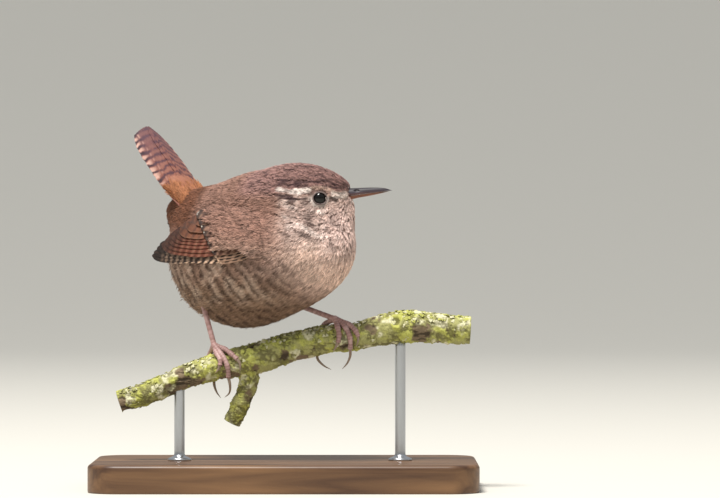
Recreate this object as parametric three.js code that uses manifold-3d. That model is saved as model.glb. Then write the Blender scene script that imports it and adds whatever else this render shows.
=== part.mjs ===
// A still, life-size wren that grips a cut length of branch over a wooden base.
// Millimetres, +Z up, +X to the right of the bird's better side, +Y away from it.
// The origin is the middle of the base's underside.

import * as THREE from 'three';
import * as BufferGeometryUtils from 'three/addons/utils/BufferGeometryUtils.js';
import Module from 'manifold-3d';

const wasm = await Module();
wasm.setup();

const deg = THREE.MathUtils.degToRad;

// Driving sizes of the whole
const GAP = 0.3;                                  // room between pieces that meet
const BODY_CENTRE = new THREE.Vector3(-6.6, 0, 69.1);
const BODY_YAW = deg(-35);                        // the breast turns towards -Y
const NAPE_YAW = deg(-20);
const HEAD_YAW = deg(-6);                         // the head looks along +X again
const FORM_BLEND = 2;                             // how softly the flesh forms merge
const BODY_DETAIL = 9;                            // splits of each side of the ball

// Flesh forms: middle ahead, left and above of the body centre, half sizes
// along, across and up, yaw and upward pitch.
const FLESH = [
  { at: [-9.8, 0, -3.6], half: [21.5, 15.2, 17.7], yaw: BODY_YAW, pitch: deg(-34) },
  { at: [3.0, 0, -4.4], half: [27.1, 17.6, 15.5], yaw: BODY_YAW, pitch: deg(11) },
  { at: [-16.9, 0, 8.7], half: [16.5, 6.8, 7.5], yaw: BODY_YAW, pitch: deg(-6) },
  { at: [-3.7, 0.2, 13.7], half: [13.3, 9.8, 7.0], yaw: NAPE_YAW, pitch: deg(17) },
  { at: [12.5, 0, 9.3], half: [15.9, 7.0, 14.0], yaw: HEAD_YAW, pitch: deg(3) },
  { at: [17.7, 2.3, 16.1], half: [8.0, 5.0, 3.0], yaw: HEAD_YAW, pitch: 0 },
];
const TRUNK_FORMS = 3;                            // the first three are the body alone

// The cuts that part head, neck and torso: a point, and the way to the head
const CUT_AWAY = new THREE.Vector3(0.526, -0.074, 0.847).normalize();
const HEAD_CUT = new THREE.Vector3(6.3, -9, 78.4);
const NECK_DEPTH = 5;

// Eyes, bill
const EYE_AT = { ahead: 7.25, z: 82.6 };          // from the middle of the head, and its height
const EYE_RADIUS = 2.15;
const EYE_SHOWS = 0.75;                           // how far the ball stands out of the head
const LID_RADIUS = 2.1;
const LID_THICK = 0.42;
const BILL_BASE = new THREE.Vector3(18.9, -9.1, 83.9);
const BILL_ROOT = -2.2;                           // starts this far inside the face
const NOSTRIL = { along: 1.7, up: 0.95, half: [0.85, 0.3, 0.24] };

// Wing and tail feathers
const WING_TILT = 0.38;                           // each vane's slope across its width
const VANE_THICK = 0.62;
const TAIL_ROOT = { f: -20.9, u: 10.3 };
const TAIL_RISE = deg(48.4);                      // leans back, cocked up
const TAIL_LENGTH = 33;
const TAIL_FEATHERS = 12;
const TAIL_TILT = 0.26;
const TAIL_ASIDE = 0.9;                           // the tip swings a little to the left

// Legs and feet, and the branch below them
const PERCH_Y = -3;
const PERCH_LINE = [
  [-47.1, 24.6], [-38.6, 27.4], [-24.3, 33.3], [-17.1, 35.1], [-10.0, 36.7], [4.3, 40.9],
  [14.3, 42.9], [18.6, 43.1], [32.9, 46.0], [47.1, 45.4], [52.9, 45.1],
];
const PERCH_RADII = [
  [-48, 3.0], [-38.6, 3.1], [-24.3, 3.4], [-17, 3.7], [-10, 4.3], [4.3, 4.0],
  [18.6, 3.7], [32.9, 4.6], [47, 3.9], [54, 3.7],
];
const PERCH_SIDES = 11;
const PERCH_STEPS = 34;
const TARSUS_RADIUS = 0.72;
const TOE_RADIUS = 0.66;
const CLAW_RADIUS = 0.5;
const ANKLE = 2.4;                                // how far the foot reaches up the shank
const GRIP = 0.4;                                 // toe skin to bark

// Stand
const BASE = { long: 110, wide: 60, thick: 8, corner: 9, bevel: 1.2 };
const ROD_RADIUS = 1.5;
const ROD_X = [-30, 32.9];

// Places a point given ahead, left and above of the body centre.
function birdPoint(f, l, u) {
  return new THREE.Vector3(f, l, u)
    .applyAxisAngle(new THREE.Vector3(0, 0, 1), BODY_YAW)
    .add(BODY_CENTRE);
}

// Blended distance to the flesh forms: each ellipsoid's scaled distance d, joined
// as -b ln(sum exp(-d / b)).
const fleshForms = FLESH.map((form) => {
  const turn = new THREE.Quaternion()
    .setFromAxisAngle(new THREE.Vector3(0, 0, 1), form.yaw)
    .multiply(new THREE.Quaternion().setFromAxisAngle(new THREE.Vector3(0, 1, 0), -form.pitch));
  return {
    middle: birdPoint(...form.at),
    half: new THREE.Vector3(...form.half),
    back: turn.invert(),
  };
});

function fleshDistance(point, forms = fleshForms) {
  let sum = 0;
  for (const form of forms) {
    const q = point.clone().sub(form.middle).applyQuaternion(form.back).divide(form.half);
    const near = q.length();
    const slope = q.divide(form.half).length();
    sum += Math.exp(-near * (near - 1) / Math.max(slope, 1e-9) / FORM_BLEND);
  }
  return -FORM_BLEND * Math.log(sum);
}

// Walks from inside along a direction to where the blended distance is offset.
function reach(from, along, offset, forms = fleshForms, most = 60) {
  let low = 0;
  let high = most;
  for (let i = 0; i < 26; i += 1) {
    const mid = (low + high) / 2;
    const inside = fleshDistance(from.clone().addScaledVector(along, mid), forms) < offset;
    if (inside) low = mid;
    else high = mid;
  }
  return (low + high) / 2;
}

// A closed geometry becomes a solid once its shared corners are one.
function solid(geometry) {
  geometry.deleteAttribute('normal');
  geometry.deleteAttribute('uv');
  const merged = BufferGeometryUtils.mergeVertices(geometry, 1e-4);
  return new wasm.Manifold(new wasm.Mesh({
    numProp: 3,
    vertProperties: new Float32Array(merged.attributes.position.array),
    triVerts: new Uint32Array(merged.index.array),
  }));
}

// Keeps the largest closed surface of a fused node, with any sealed hollow filled.
function largest(body) {
  const parts = body.decompose();
  return parts.reduce((best, part) => (part.volume() > best.volume() ? part : best));
}

function fuse(solids) {
  return solids.reduce((sum, next) => sum.add(next));
}

// Skins a row of rings of points, each ring one loop, with a point closing each end.
function skinRings(rings, start, end) {
  const around = rings[0].length;
  const corners = [start, ...rings.flat(), end];
  const last = corners.length - 1;
  const index = [];
  for (let k = 0; k < around; k += 1) {
    const next = (k + 1) % around;
    index.push(0, 1 + next, 1 + k);
    for (let r = 0; r < rings.length - 1; r += 1) {
      const a = 1 + r * around;
      const b = a + around;
      index.push(a + k, a + next, b + next);
      index.push(a + k, b + next, b + k);
    }
    const a = 1 + (rings.length - 1) * around;
    index.push(a + k, a + next, last);
  }
  const geometry = new THREE.BufferGeometry();
  geometry.setAttribute('position', new THREE.Float32BufferAttribute(
    corners.flatMap((p) => [p.x, p.y, p.z]), 3));
  geometry.setIndex(index);
  return geometry;
}

// Sweeps a round section along a smooth line, radius as a function of 0 to 1.
function sweep(points, radius, sides, steps, round = 0.5) {
  const curve = new THREE.CatmullRomCurve3(points, false, 'centripetal');
  const frames = curve.computeFrenetFrames(steps, false);
  const rings = [];
  for (let i = 0; i <= steps; i += 1) {
    const at = curve.getPointAt(i / steps);
    const ring = [];
    for (let k = 0; k < sides; k += 1) {
      const turn = (2 * Math.PI * k) / sides;
      const r = radius(i / steps, turn);
      ring.push(at.clone()
        .addScaledVector(frames.normals[i], r * Math.cos(turn))
        .addScaledVector(frames.binormals[i], r * Math.sin(turn)));
    }
    rings.push(ring);
  }
  const start = curve.getPointAt(0).addScaledVector(frames.tangents[0], -round * radius(0, 0));
  const end = curve.getPointAt(1).addScaledVector(frames.tangents[steps], round * radius(1, 0));
  return skinRings(rings, start, end);
}

// Flesh: a ball of even triangles pushed out to the blended surface.
function fleshBall(offset) {
  const ball = new THREE.IcosahedronGeometry(1, BODY_DETAIL);
  const place = ball.attributes.position;
  for (let i = 0; i < place.count; i += 1) {
    const along = new THREE.Vector3().fromBufferAttribute(place, i).normalize();
    const far = reach(BODY_CENTRE, along, offset);
    along.multiplyScalar(far).add(BODY_CENTRE);
    place.setXYZ(i, along.x, along.y, along.z);
  }
  return solid(ball);
}

// A half space on the side of the plane that the normal points to, as a big box.
function halfSpace(point, normal) {
  const size = 200;
  const box = new THREE.BoxGeometry(size, size, size);
  box.translate(0, 0, size / 2);
  const turn = new THREE.Quaternion().setFromUnitVectors(new THREE.Vector3(0, 0, 1), normal);
  box.applyQuaternion(turn);
  box.translate(point.x, point.y, point.z);
  return solid(box);
}

const flesh = fleshBall(0);
const fleshRoom = fleshBall(GAP);

// Head, neck and torso are one form parted by two thin cuts
function cutPlane(depth) {
  return HEAD_CUT.clone().addScaledVector(CUT_AWAY, -depth);
}

const aboveHeadCut = halfSpace(cutPlane(0), CUT_AWAY);
const aboveNeckTop = halfSpace(cutPlane(GAP), CUT_AWAY);
const aboveNeckCut = halfSpace(cutPlane(NECK_DEPTH), CUT_AWAY);
const aboveTorsoTop = halfSpace(cutPlane(NECK_DEPTH + GAP), CUT_AWAY);
const torso = flesh.subtract(aboveTorsoTop);
const neck = flesh.intersect(aboveNeckCut).subtract(aboveNeckTop);

// Eyes: a ball on each side of the head, sunk until EYE_SHOWS stands out
const headAhead = new THREE.Vector3(Math.cos(HEAD_YAW), Math.sin(HEAD_YAW), 0);
const headLeft = new THREE.Vector3(-Math.sin(HEAD_YAW), Math.cos(HEAD_YAW), 0);
const headMiddle = birdPoint(...FLESH[4].at);

function eyeSeat(side) {
  const core = headMiddle.clone().addScaledVector(headAhead, EYE_AT.ahead);
  core.z = EYE_AT.z;
  const out = headLeft.clone().multiplyScalar(side);
  const skin = core.clone().addScaledVector(out, reach(core, out, 0));
  const step = 0.4;
  const rise = (axis) => (
    fleshDistance(skin.clone().addScaledVector(axis, step))
    - fleshDistance(skin.clone().addScaledVector(axis, -step)));
  const up = new THREE.Vector3(0, 0, 1);
  const normal = headAhead.clone().multiplyScalar(rise(headAhead))
    .addScaledVector(headLeft, rise(headLeft))
    .addScaledVector(up, rise(up))
    .normalize();
  return { normal, middle: skin.addScaledVector(normal, EYE_SHOWS - EYE_RADIUS) };
}

function ballAt(middle, radius, wide = 12, high = 9) {
  const ball = new THREE.SphereGeometry(radius, wide, high);
  ball.translate(middle.x, middle.y, middle.z);
  return solid(ball);
}

function lidRing(seat) {
  const ring = new THREE.TorusGeometry(LID_RADIUS, LID_THICK, 6, 16);
  ring.scale(1.08, 0.94, 1);
  const sunk = EYE_SHOWS - EYE_RADIUS + Math.sqrt(EYE_RADIUS ** 2 - (LID_RADIUS - 0.35) ** 2);
  const basis = new THREE.Matrix4().lookAt(
    seat.normal, new THREE.Vector3(), new THREE.Vector3(0, 0, 1));
  ring.applyMatrix4(basis);
  const at = seat.middle.clone().addScaledVector(seat.normal, EYE_RADIUS - EYE_SHOWS + sunk * 0.2);
  ring.translate(at.x, at.y, at.z);
  return solid(ring);
}

const eyeSeats = { right: eyeSeat(-1), left: eyeSeat(1) };

// Bill: two mandibles as lofts; rows are distance ahead, top, mouth line, bottom
// and half width, measured from the middle of the bill's base.
const BILL_ROWS = [
  [BILL_ROOT, 1.45, -0.7, -1.75, 1.75],
  [0, 1.6, -0.5, -1.6, 1.6],
  [2.6, 1.72, -0.15, -1.05, 1.28],
  [5.2, 1.78, 0.18, -0.5, 1.0],
  [7.8, 1.74, 0.52, 0.05, 0.72],
  [9.7, 1.58, 0.78, 0.42, 0.46],
];
const UPPER_TIP = [11.8, 0.93];
const LOWER_TIP = [11.2, 0.66];

function billPoint(along, across, up) {
  return BILL_BASE.clone()
    .addScaledVector(headAhead, along)
    .addScaledVector(headLeft, across)
    .add(new THREE.Vector3(0, 0, up));
}

function mandible(upper) {
  const rings = BILL_ROWS.map(([along, top, mouth, bottom, half]) => {
    const edge = upper ? mouth + GAP / 2 : mouth - GAP / 2;
    const ridge = upper ? top : bottom;
    const shoulder = edge + (ridge - edge) * 0.62;
    const corners = [
      [0, ridge], [-half * 0.62, shoulder], [-half, edge], [0, edge],
      [half, edge], [half * 0.62, shoulder],
    ];
    if (!upper) corners.reverse();
    return corners.map(([across, up]) => billPoint(along, across, up));
  });
  const [along, up] = upper ? UPPER_TIP : LOWER_TIP;
  const root = BILL_ROWS[0];
  const inside = (upper ? root[1] : root[3]) / 2 + root[2] / 2;
  return solid(skinRings(rings, billPoint(BILL_ROOT, 0, inside), billPoint(along, 0, up)));
}

function nostril(side) {
  const [along, across, up] = NOSTRIL.half;
  const slit = new THREE.SphereGeometry(1, 8, 6);
  slit.scale(along, across, up);
  slit.rotateZ(HEAD_YAW);
  const at = billPoint(NOSTRIL.along, side * 1.22, NOSTRIL.up);
  slit.translate(at.x, at.y, at.z);
  return solid(slit);
}

const billUpper = largest(mandible(true).subtract(fleshRoom).subtract(nostril(1)).subtract(nostril(-1)));
const billLower = largest(mandible(false).subtract(fleshRoom));

// The gape runs back from the mouth line as a fine groove in the face
function gapeGroove(side) {
  const points = [2.2, 0.6, -1.0, -2.4].map((along, i) => {
    const core = billPoint(along - 1.2, 0, -0.45 - 0.25 * i);
    const out = headLeft.clone().multiplyScalar(side);
    const inside = fleshDistance(core) < 0;
    const far = inside ? reach(core, out, 0, fleshForms, 20) : 1.4;
    return core.addScaledVector(out, far);
  });
  return solid(sweep(points, (t) => 0.3 - 0.12 * t, 6, 4));
}

let head = flesh.intersect(aboveHeadCut);
for (const side of ['right', 'left']) {
  head = head.add(lidRing(eyeSeats[side]));
  head = head.subtract(ballAt(eyeSeats[side].middle, EYE_RADIUS + GAP));
}
head = largest(head.subtract(gapeGroove(1)).subtract(gapeGroove(-1)));

// Feathers: a flat vane along a line, thickest at the shaft and thin at its edges.
// place(t, across, high) gives the point at 0 to 1 along it.
const VANE_STOPS = [
  [0, 0.6], [0.36, 0.98], [0.74, 1], [0.93, 0.68],
];

function vane(place, half, thick) {
  const rings = VANE_STOPS.map(([t, wide]) => {
    const edge = half * wide;
    const deep = (thick / 2) * (t > 0.9 ? 0.75 : 1);
    return [
      place(t, -edge, 0), place(t, 0, deep), place(t, edge, 0), place(t, 0, -deep),
    ];
  });
  return skinRings(rings, place(0, 0, 0), place(1, 0, 0));
}

// Faces of a mirrored vane point the other way, so they are turned back.
function turnedOut(geometry) {
  const body = solid(geometry.clone());
  if (body.volume() > 0) return body;
  const flipped = geometry.clone();
  const index = Array.from(flipped.index.array);
  for (let i = 0; i < index.length; i += 3) {
    [index[i], index[i + 1]] = [index[i + 1], index[i]];
  }
  flipped.setIndex(index);
  return solid(flipped);
}

// Wing sheet: outside the trunk, and past it outside a slim guide form that runs to
// the wing tip. Gives the sideways reach at a place ahead and above of the centre.
const WING_GUIDE = { at: [-18, 0, -1], half: [26, 11, 24] };
const trunkForms = fleshForms.slice(0, TRUNK_FORMS).concat([{
  middle: birdPoint(...WING_GUIDE.at),
  half: new THREE.Vector3(...WING_GUIDE.half),
  back: new THREE.Quaternion().setFromAxisAngle(new THREE.Vector3(0, 0, 1), -BODY_YAW),
}]);
const birdLeft = new THREE.Vector3(0, 1, 0).applyAxisAngle(new THREE.Vector3(0, 0, 1), BODY_YAW);

function wingSheet(f, u, high) {
  const middle = birdPoint(f, 0, u);
  return reach(middle, birdLeft, 0, trunkForms, 40) + high;
}

// Turns a place on the near wing as seen along +Y, right of and above the body
// centre, into its distance ahead of the centre.
function aheadOfSeen(x, u) {
  let low = -50;
  let high = 30;
  for (let i = 0; i < 22; i += 1) {
    const f = (low + high) / 2;
    const seen = f * Math.cos(BODY_YAW) + wingSheet(f, u, 0.8) * Math.sin(BODY_YAW);
    if (seen < x) low = f;
    else high = f;
  }
  return (low + high) / 2;
}

// One wing feather from root to tip, both given ahead and above; rank lifts it over
// its outer neighbour, and it is tilted so that its upper edge slips under the next.
function wingFeather(side, row) {
  const { root, tip, half, lift, thick = VANE_THICK, bow = 0 } = row;
  const run = Math.hypot(tip[0] - root[0], tip[1] - root[1]);
  const way = [(tip[0] - root[0]) / run, (tip[1] - root[1]) / run];
  return turnedOut(vane((t, across, high) => {
    const bend = bow * Math.sin(Math.PI * t);
    const f = root[0] + way[0] * run * t + way[1] * across;
    const u = root[1] + way[1] * run * t - way[0] * (across + bend);
    const settle = lift * (0.35 + 0.65 * t) - WING_TILT * across + high;
    return birdPoint(f, side * wingSheet(f, u, settle), u);
  }, half, thick));
}

// The feather rows of one wing, as seen from the side: lines through the first,
// middle and last root, and through the first, middle and last tip.
const WING_ROWS = [
  { name: 'primaries', count: 8, roots: [[-4, -3.0], [-6, -1.4], [-8, 0.5]],
    tips: [[-26.5, -2.5], [-31.8, -3.0], [-29.3, 0.6]], half: 1.7, lift: 0.7, bow: -0.5 },
  { name: 'secondaries', count: 6, roots: [[-9, -1.3], [-9.5, 1.8], [-10, 4.5]],
    tips: [[-28.6, 0.5], [-26.2, 3.0], [-23.2, 5.0]], half: 2.3, lift: 1.15, bow: -0.3 },
  { name: 'tertials', count: 3, roots: [[-11, 4.5], [-11, 6.5], [-11, 8.5]],
    tips: [[-22.8, 5.4], [-20.6, 6.9], [-17.9, 8.6]], half: 2.6, lift: 1.5, bow: -0.3 },
  { name: 'primary_coverts', count: 4, roots: [[-3.5, -2.6], [-4, -1.6], [-4.5, -0.6]],
    tips: [[-11.2, -4.0], [-12.2, -3.0], [-13, -1.6]], half: 1.4, lift: 1.5, bow: 0 },
  { name: 'greater_coverts', count: 8, roots: [[-5, -0.4], [-8.5, 4], [-11, 9.2]],
    tips: [[-13.1, -1.1], [-15.2, 3.5], [-17.5, 9.4]], half: 1.7, lift: 1.9, bow: 0 },
  { name: 'median_coverts', count: 6, roots: [[0, 0.4], [-2, 3.5], [-6.5, 9.0]],
    tips: [[-8, -0.2], [-9.5, 3.2], [-13, 8.8]], half: 1.8, lift: 2.2, bow: 0 },
];

// A point on the bent line through the first, middle and last of a row's places.
function alongRow(stops, t) {
  const curve = new THREE.CatmullRomCurve3(
    stops.map(([x, u]) => new THREE.Vector3(x, 0, u)), false, 'centripetal');
  const at = curve.getPoint(t);
  return [aheadOfSeen(at.x, at.z), at.z];
}

// The fleshy arm under the coverts, where the feathers are rooted
const ARM = {
  lower: [[-1, -1.6], [-6, -3.8], [-14, -3.6], [-22, -2.4]],
  upper: [[-1, 1.5], [-6, 8.6], [-13, 9.6], [-20, 4.6]],
};

// A thin pad on the wing sheet between a lower and an upper line, as seen from the side
function wingPad(side, lower, upper, inner, outer) {
  const rows = 8;
  const across = 4;
  const lowLine = new THREE.CatmullRomCurve3(lower.map(([x, u]) => new THREE.Vector3(x, 0, u)));
  const highLine = new THREE.CatmullRomCurve3(upper.map(([x, u]) => new THREE.Vector3(x, 0, u)));
  const rings = [];
  for (let i = 0; i <= rows; i += 1) {
    const low = lowLine.getPoint(i / rows);
    const high = highLine.getPoint(i / rows);
    const place = (k, lift) => {
      const at = low.clone().lerp(high, k / across);
      const f = aheadOfSeen(at.x, at.z);
      return birdPoint(f, side * wingSheet(f, at.z, lift), at.z);
    };
    const ring = [];
    for (let k = 0; k <= across; k += 1) {
      ring.push(place(k, outer - 0.25 * (k % across === 0)));
    }
    for (let k = across; k >= 0; k -= 1) ring.push(place(k, inner));
    rings.push(ring);
  }
  const mean = (ring) => ring
    .reduce((sum, p) => sum.add(p), new THREE.Vector3())
    .divideScalar(ring.length);
  return turnedOut(skinRings(rings, mean(rings[0]), mean(rings[rows])));
}

function wing(side) {
  const pieces = [wingPad(side, ARM.lower, ARM.upper, -0.6, 0.9)];
  for (const row of WING_ROWS) {
    for (let i = 0; i < row.count; i += 1) {
      const t = i / (row.count - 1);
      pieces.push(wingFeather(side, {
        root: alongRow(row.roots, t),
        tip: alongRow(row.tips, t),
        half: row.half,
        bow: row.bow,
        lift: row.lift + 0.05 * i,
      }));
    }
  }
  return largest(fuse(pieces).subtract(fleshRoom));
}

const wingRight = wing(-1);
const wingLeft = wing(1);

// Tail: feathers in pairs, the middle pair on top, each pair under the last
const tailAlong = { f: -Math.cos(TAIL_RISE), u: Math.sin(TAIL_RISE) };
const tailOver = { f: Math.sin(TAIL_RISE), u: Math.cos(TAIL_RISE) };

function tailPoint(along, across, high) {
  return birdPoint(
    TAIL_ROOT.f + tailAlong.f * along + tailOver.f * high,
    across,
    TAIL_ROOT.u + tailAlong.u * along + tailOver.u * high);
}

function tailFeather(i) {
  const side = i % 2 ? 1 : -1;
  const pair = Math.floor(i / 2);
  const long = TAIL_LENGTH - 0.16 * pair ** 1.5;
  const half = 2.6 - 0.06 * pair;
  return turnedOut(vane((t, across, high) => {
    const wide = 0.55 + pair * (1.0 + 1.1 * t - 1.12 * t * t);
    const down = -0.3 * pair - side * across * TAIL_TILT + (side > 0 ? 0.1 : 0);
    return tailPoint(long * t, 0.6 + TAIL_ASIDE * t + side * wide + across, down + high);
  }, half, VANE_THICK));
}

// Coverts lie round the tail's root in two tiers, over and under it
function tailCovert(over, tier, k, count) {
  const turn = deg(-62 + (124 * k) / (count - 1));
  const long = (over > 0 ? 13.5 : 14) - 3.5 * tier;
  const swell = 3.0 + 0.8 * tier;
  return turnedOut(vane((t, across, high) => {
    const out = swell * (1 - 0.62 * t) + high;
    const wide = 0.6 + 6.2 * Math.sin(turn) * (1 - 0.25 * t) + across * Math.cos(turn);
    const lift = over * (out * Math.cos(turn * 0.8) - 0.25 * across * Math.sin(turn));
    return tailPoint(long * t, wide, lift - 0.9);
  }, 2.2, VANE_THICK));
}

function tail() {
  const core = sweep(
    [tailPoint(-1, 0, -0.9), tailPoint(5, 0, -0.9), tailPoint(11, 0, -0.9)],
    (t, turn) => {
      const across = 5.6 - 1.6 * t;
      const over = 3.2 - 2.3 * t;
      return 1 / Math.hypot(Math.cos(turn) / over, Math.sin(turn) / across);
    }, 10, 3);
  const pieces = [turnedOut(core)];
  for (let i = 0; i < TAIL_FEATHERS; i += 1) pieces.push(tailFeather(i));
  for (const over of [1, -1]) {
    for (const tier of [0, 1]) {
      const count = 5 - tier;
      for (let k = 0; k < count; k += 1) pieces.push(tailCovert(over, tier, k, count));
    }
  }
  return largest(fuse(pieces).subtract(fleshRoom));
}

const tailSolid = tail();

// Perch: the cut branch, a little lumpy all along, with rough bark steps
const perchCurve = new THREE.CatmullRomCurve3(
  PERCH_LINE.map(([x, z]) => new THREE.Vector3(x, PERCH_Y, z)), false, 'centripetal');

function perchRadius(x) {
  let i = 1;
  while (i < PERCH_RADII.length - 1 && PERCH_RADII[i][0] < x) i += 1;
  const [x0, r0] = PERCH_RADII[i - 1];
  const [x1, r1] = PERCH_RADII[i];
  return THREE.MathUtils.lerp(r0, r1, THREE.MathUtils.smoothstep(x, x0, x1));
}

function perch(more) {
  const rings = [];
  for (let i = 0; i <= PERCH_STEPS; i += 1) {
    const t = i / PERCH_STEPS;
    const at = perchCurve.getPointAt(t);
    const along = perchCurve.getTangentAt(t);
    const up = new THREE.Vector3(-along.z, 0, along.x);
    const ring = [];
    for (let k = 0; k < PERCH_SIDES; k += 1) {
      const turn = (2 * Math.PI * k) / PERCH_SIDES;
      const bark = 0.09 * Math.sin(7 * at.x + 3 * k) + 0.07 * Math.sin(2.3 * at.x + 5 * k);
      const r = perchRadius(at.x) + bark + more;
      ring.push(at.clone()
        .addScaledVector(up, r * Math.cos(turn))
        .add(new THREE.Vector3(0, r * Math.sin(turn), 0)));
    }
    rings.push(ring);
  }
  const start = perchCurve.getPointAt(0);
  const end = perchCurve.getPointAt(1);
  return turnedOut(skinRings(rings, start, end));
}

const perchSolid = perch(0);
const perchRoom = perch(GAP);

// A cut twig that leaves the branch's underside
const TWIG_LINE = [[-10.5, 36.5], [-10.2, 31], [-11.3, 27], [-13, 23], [-15.2, 18.8]];
const twig = largest(turnedOut(sweep(
  TWIG_LINE.map(([x, z], i) => new THREE.Vector3(x, PERCH_Y + 0.5 * i, z)),
  (t, turn) => 2.75 - 0.35 * t + 0.1 * Math.sin(9 * t + 3 * turn),
  9, 9, 0)).subtract(perchRoom));

// A point over the branch: distance along it in X, turned down towards the bird's
// near side by an angle from the top, and out from the axis by a distance.
function overPerch(x, angle, out) {
  const span = PERCH_LINE[PERCH_LINE.length - 1][0] - PERCH_LINE[0][0];
  let t = (x - PERCH_LINE[0][0]) / span;
  for (let i = 0; i < 6; i += 1) t += (x - perchCurve.getPoint(t).x) / span;
  const at = perchCurve.getPoint(t);
  const along = perchCurve.getTangent(t);
  const up = new THREE.Vector3(-along.z, 0, along.x);
  return at.addScaledVector(up, out * Math.cos(angle))
    .add(new THREE.Vector3(0, -out * Math.sin(angle), 0));
}

// Feet: each toe's route over the bark, as millimetres along the branch from the
// knuckle, degrees round it from the top and lift off the bark; then its claw's.
const FEET = {
  right: {
    knuckle: new THREE.Vector3(-20.1, -4.2, 40.9),
    heel: new THREE.Vector3(-24.4, 0.5, 56),
    toes: {
      inner: { toe: [[1.6, 34, 0.2], [2.3, 66, 0], [1.9, 84, 0]], claw: [[1.3, 96, 0], [0.3, 106, 0.4]] },
      middle: { toe: [[2.6, 38, 0.3], [3.6, 74, 0], [3.8, 104, 0], [3.4, 132, 0.5]],
        claw: [[3.3, 150, 2.2], [2.6, 166, 3.6], [1.2, 177, 4.4]] },
      outer: { toe: [[4.0, 24, 0.3], [5.6, 54, 0], [6.9, 76, 0]], claw: [[7.4, 94, 0.1], [7.0, 116, 0.5]] },
      hind: { toe: [[-0.8, -48, 0.2], [-1.1, -95, 0], [-1.0, -138, 0]],
        claw: [[-1.2, -160, 1.2], [-0.9, -172, 2.8], [-0.1, -180, 4.3]] },
    },
  },
  left: {
    knuckle: new THREE.Vector3(14.3, -4.4, 48.4),
    heel: new THREE.Vector3(1.5, 4.5, 53),
    toes: {
      inner: { toe: [[0.9, 50, 0.1], [1.2, 80, 0], [0.9, 104, 0]], claw: [[0.1, 120, 0.1], [-0.9, 134, 0.5]] },
      middle: { toe: [[2.6, 42, 0.1], [3.9, 70, 0], [4.3, 98, 0], [4.0, 130, 0.2]],
        claw: [[3.8, 158, 1.2], [3.1, 172, 2.9], [2.2, 180, 4.3]] },
      outer: { toe: [[4.8, 42, 0.1], [6.3, 72, 0], [6.6, 90, 0]], claw: [[6.3, 106, 0.1], [5.5, 124, 0.5]] },
      hind: { toe: [[-2.2, -30, 0.1], [-4.5, -72, 0], [-5.8, -128, 0]],
        claw: [[-6.0, -156, 0.9], [-4.6, -170, 2.7], [-2.7, -180, 4.0]] },
    },
  },
};

function foot({ knuckle, heel, toes }) {
  const shin = heel.clone().sub(knuckle).normalize();
  const shank = (t) => TARSUS_RADIUS * (1.12 - 0.25 * t + 0.25 * t * t);
  const ankleTop = knuckle.clone().addScaledVector(shin, ANKLE);
  const ankle = sweep([knuckle, ankleTop], () => shank(0), 8, 1, 0);
  const pieces = [ballAt(knuckle, 1.0, 10, 8), solid(ankle)];
  const claws = {};
  for (const [name, { toe, claw }] of Object.entries(toes)) {
    const place = ([along, angle, lift], thick) => {
      const x = knuckle.x + along;
      return overPerch(x, deg(angle), perchRadius(x) + thick + GRIP + lift);
    };
    const route = [knuckle, ...toe.map((stop) => place(stop, TOE_RADIUS))];
    pieces.push(solid(sweep(route, (t) => (
      (TOE_RADIUS + 0.16 - 0.2 * t) * (1 + 0.07 * Math.cos(6 * Math.PI * t))), 7, 9, 0.3)));
    const tip = route[route.length - 1];
    const hook = claw.map((stop) => place(stop, CLAW_RADIUS));
    const away = hook[0].clone().sub(tip).normalize();
    const start = tip.clone().addScaledVector(away, GAP + 0.3 * TOE_RADIUS);
    claws[name] = solid(sweep([start, ...hook], (t) => CLAW_RADIUS * (1 - 0.72 * t), 6, 6, 0.1));
  }
  const shankFoot = ankleTop.clone().addScaledVector(shin, GAP);
  return {
    foot: largest(fuse(pieces).subtract(perchRoom)),
    leg: largest(solid(sweep([shankFoot, heel], shank, 8, 4, 0)).subtract(fleshRoom)),
    claws,
  };
}

const feet = { right: foot(FEET.right), left: foot(FEET.left) };

// Stand: a bevelled board with two rods that end in saddles under the branch
function baseBoard() {
  const { long, wide, thick, corner, bevel } = BASE;
  const x = long / 2 - bevel;
  const y = wide / 2 - bevel;
  const outline = new THREE.Shape();
  outline.moveTo(-x + corner, -y);
  outline.lineTo(x - corner, -y);
  outline.absarc(x - corner, -y + corner, corner, -Math.PI / 2, 0, false);
  outline.lineTo(x, y - corner);
  outline.absarc(x - corner, y - corner, corner, 0, Math.PI / 2, false);
  outline.lineTo(-x + corner, y);
  outline.absarc(-x + corner, y - corner, corner, Math.PI / 2, Math.PI, false);
  outline.lineTo(-x, -y + corner);
  outline.absarc(-x + corner, -y + corner, corner, Math.PI, 1.5 * Math.PI, false);
  const board = new THREE.ExtrudeGeometry(outline, {
    depth: thick - 2 * bevel,
    bevelEnabled: true,
    bevelThickness: bevel,
    bevelSize: bevel,
    bevelSegments: 2,
    curveSegments: 5,
  });
  board.translate(0, 0, bevel);
  return solid(board);
}

function rod(x) {
  const low = BASE.thick + GAP;
  const high = 50;
  const bar = new THREE.CylinderGeometry(ROD_RADIUS, ROD_RADIUS, high - low, 14);
  bar.rotateX(Math.PI / 2);
  bar.translate(x, PERCH_Y, (low + high) / 2);
  const parts = solid(bar).subtract(perchRoom).decompose();
  return parts.reduce((lowest, part) => (
    part.boundingBox().min[2] < lowest.boundingBox().min[2] ? part : lowest));
}

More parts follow.
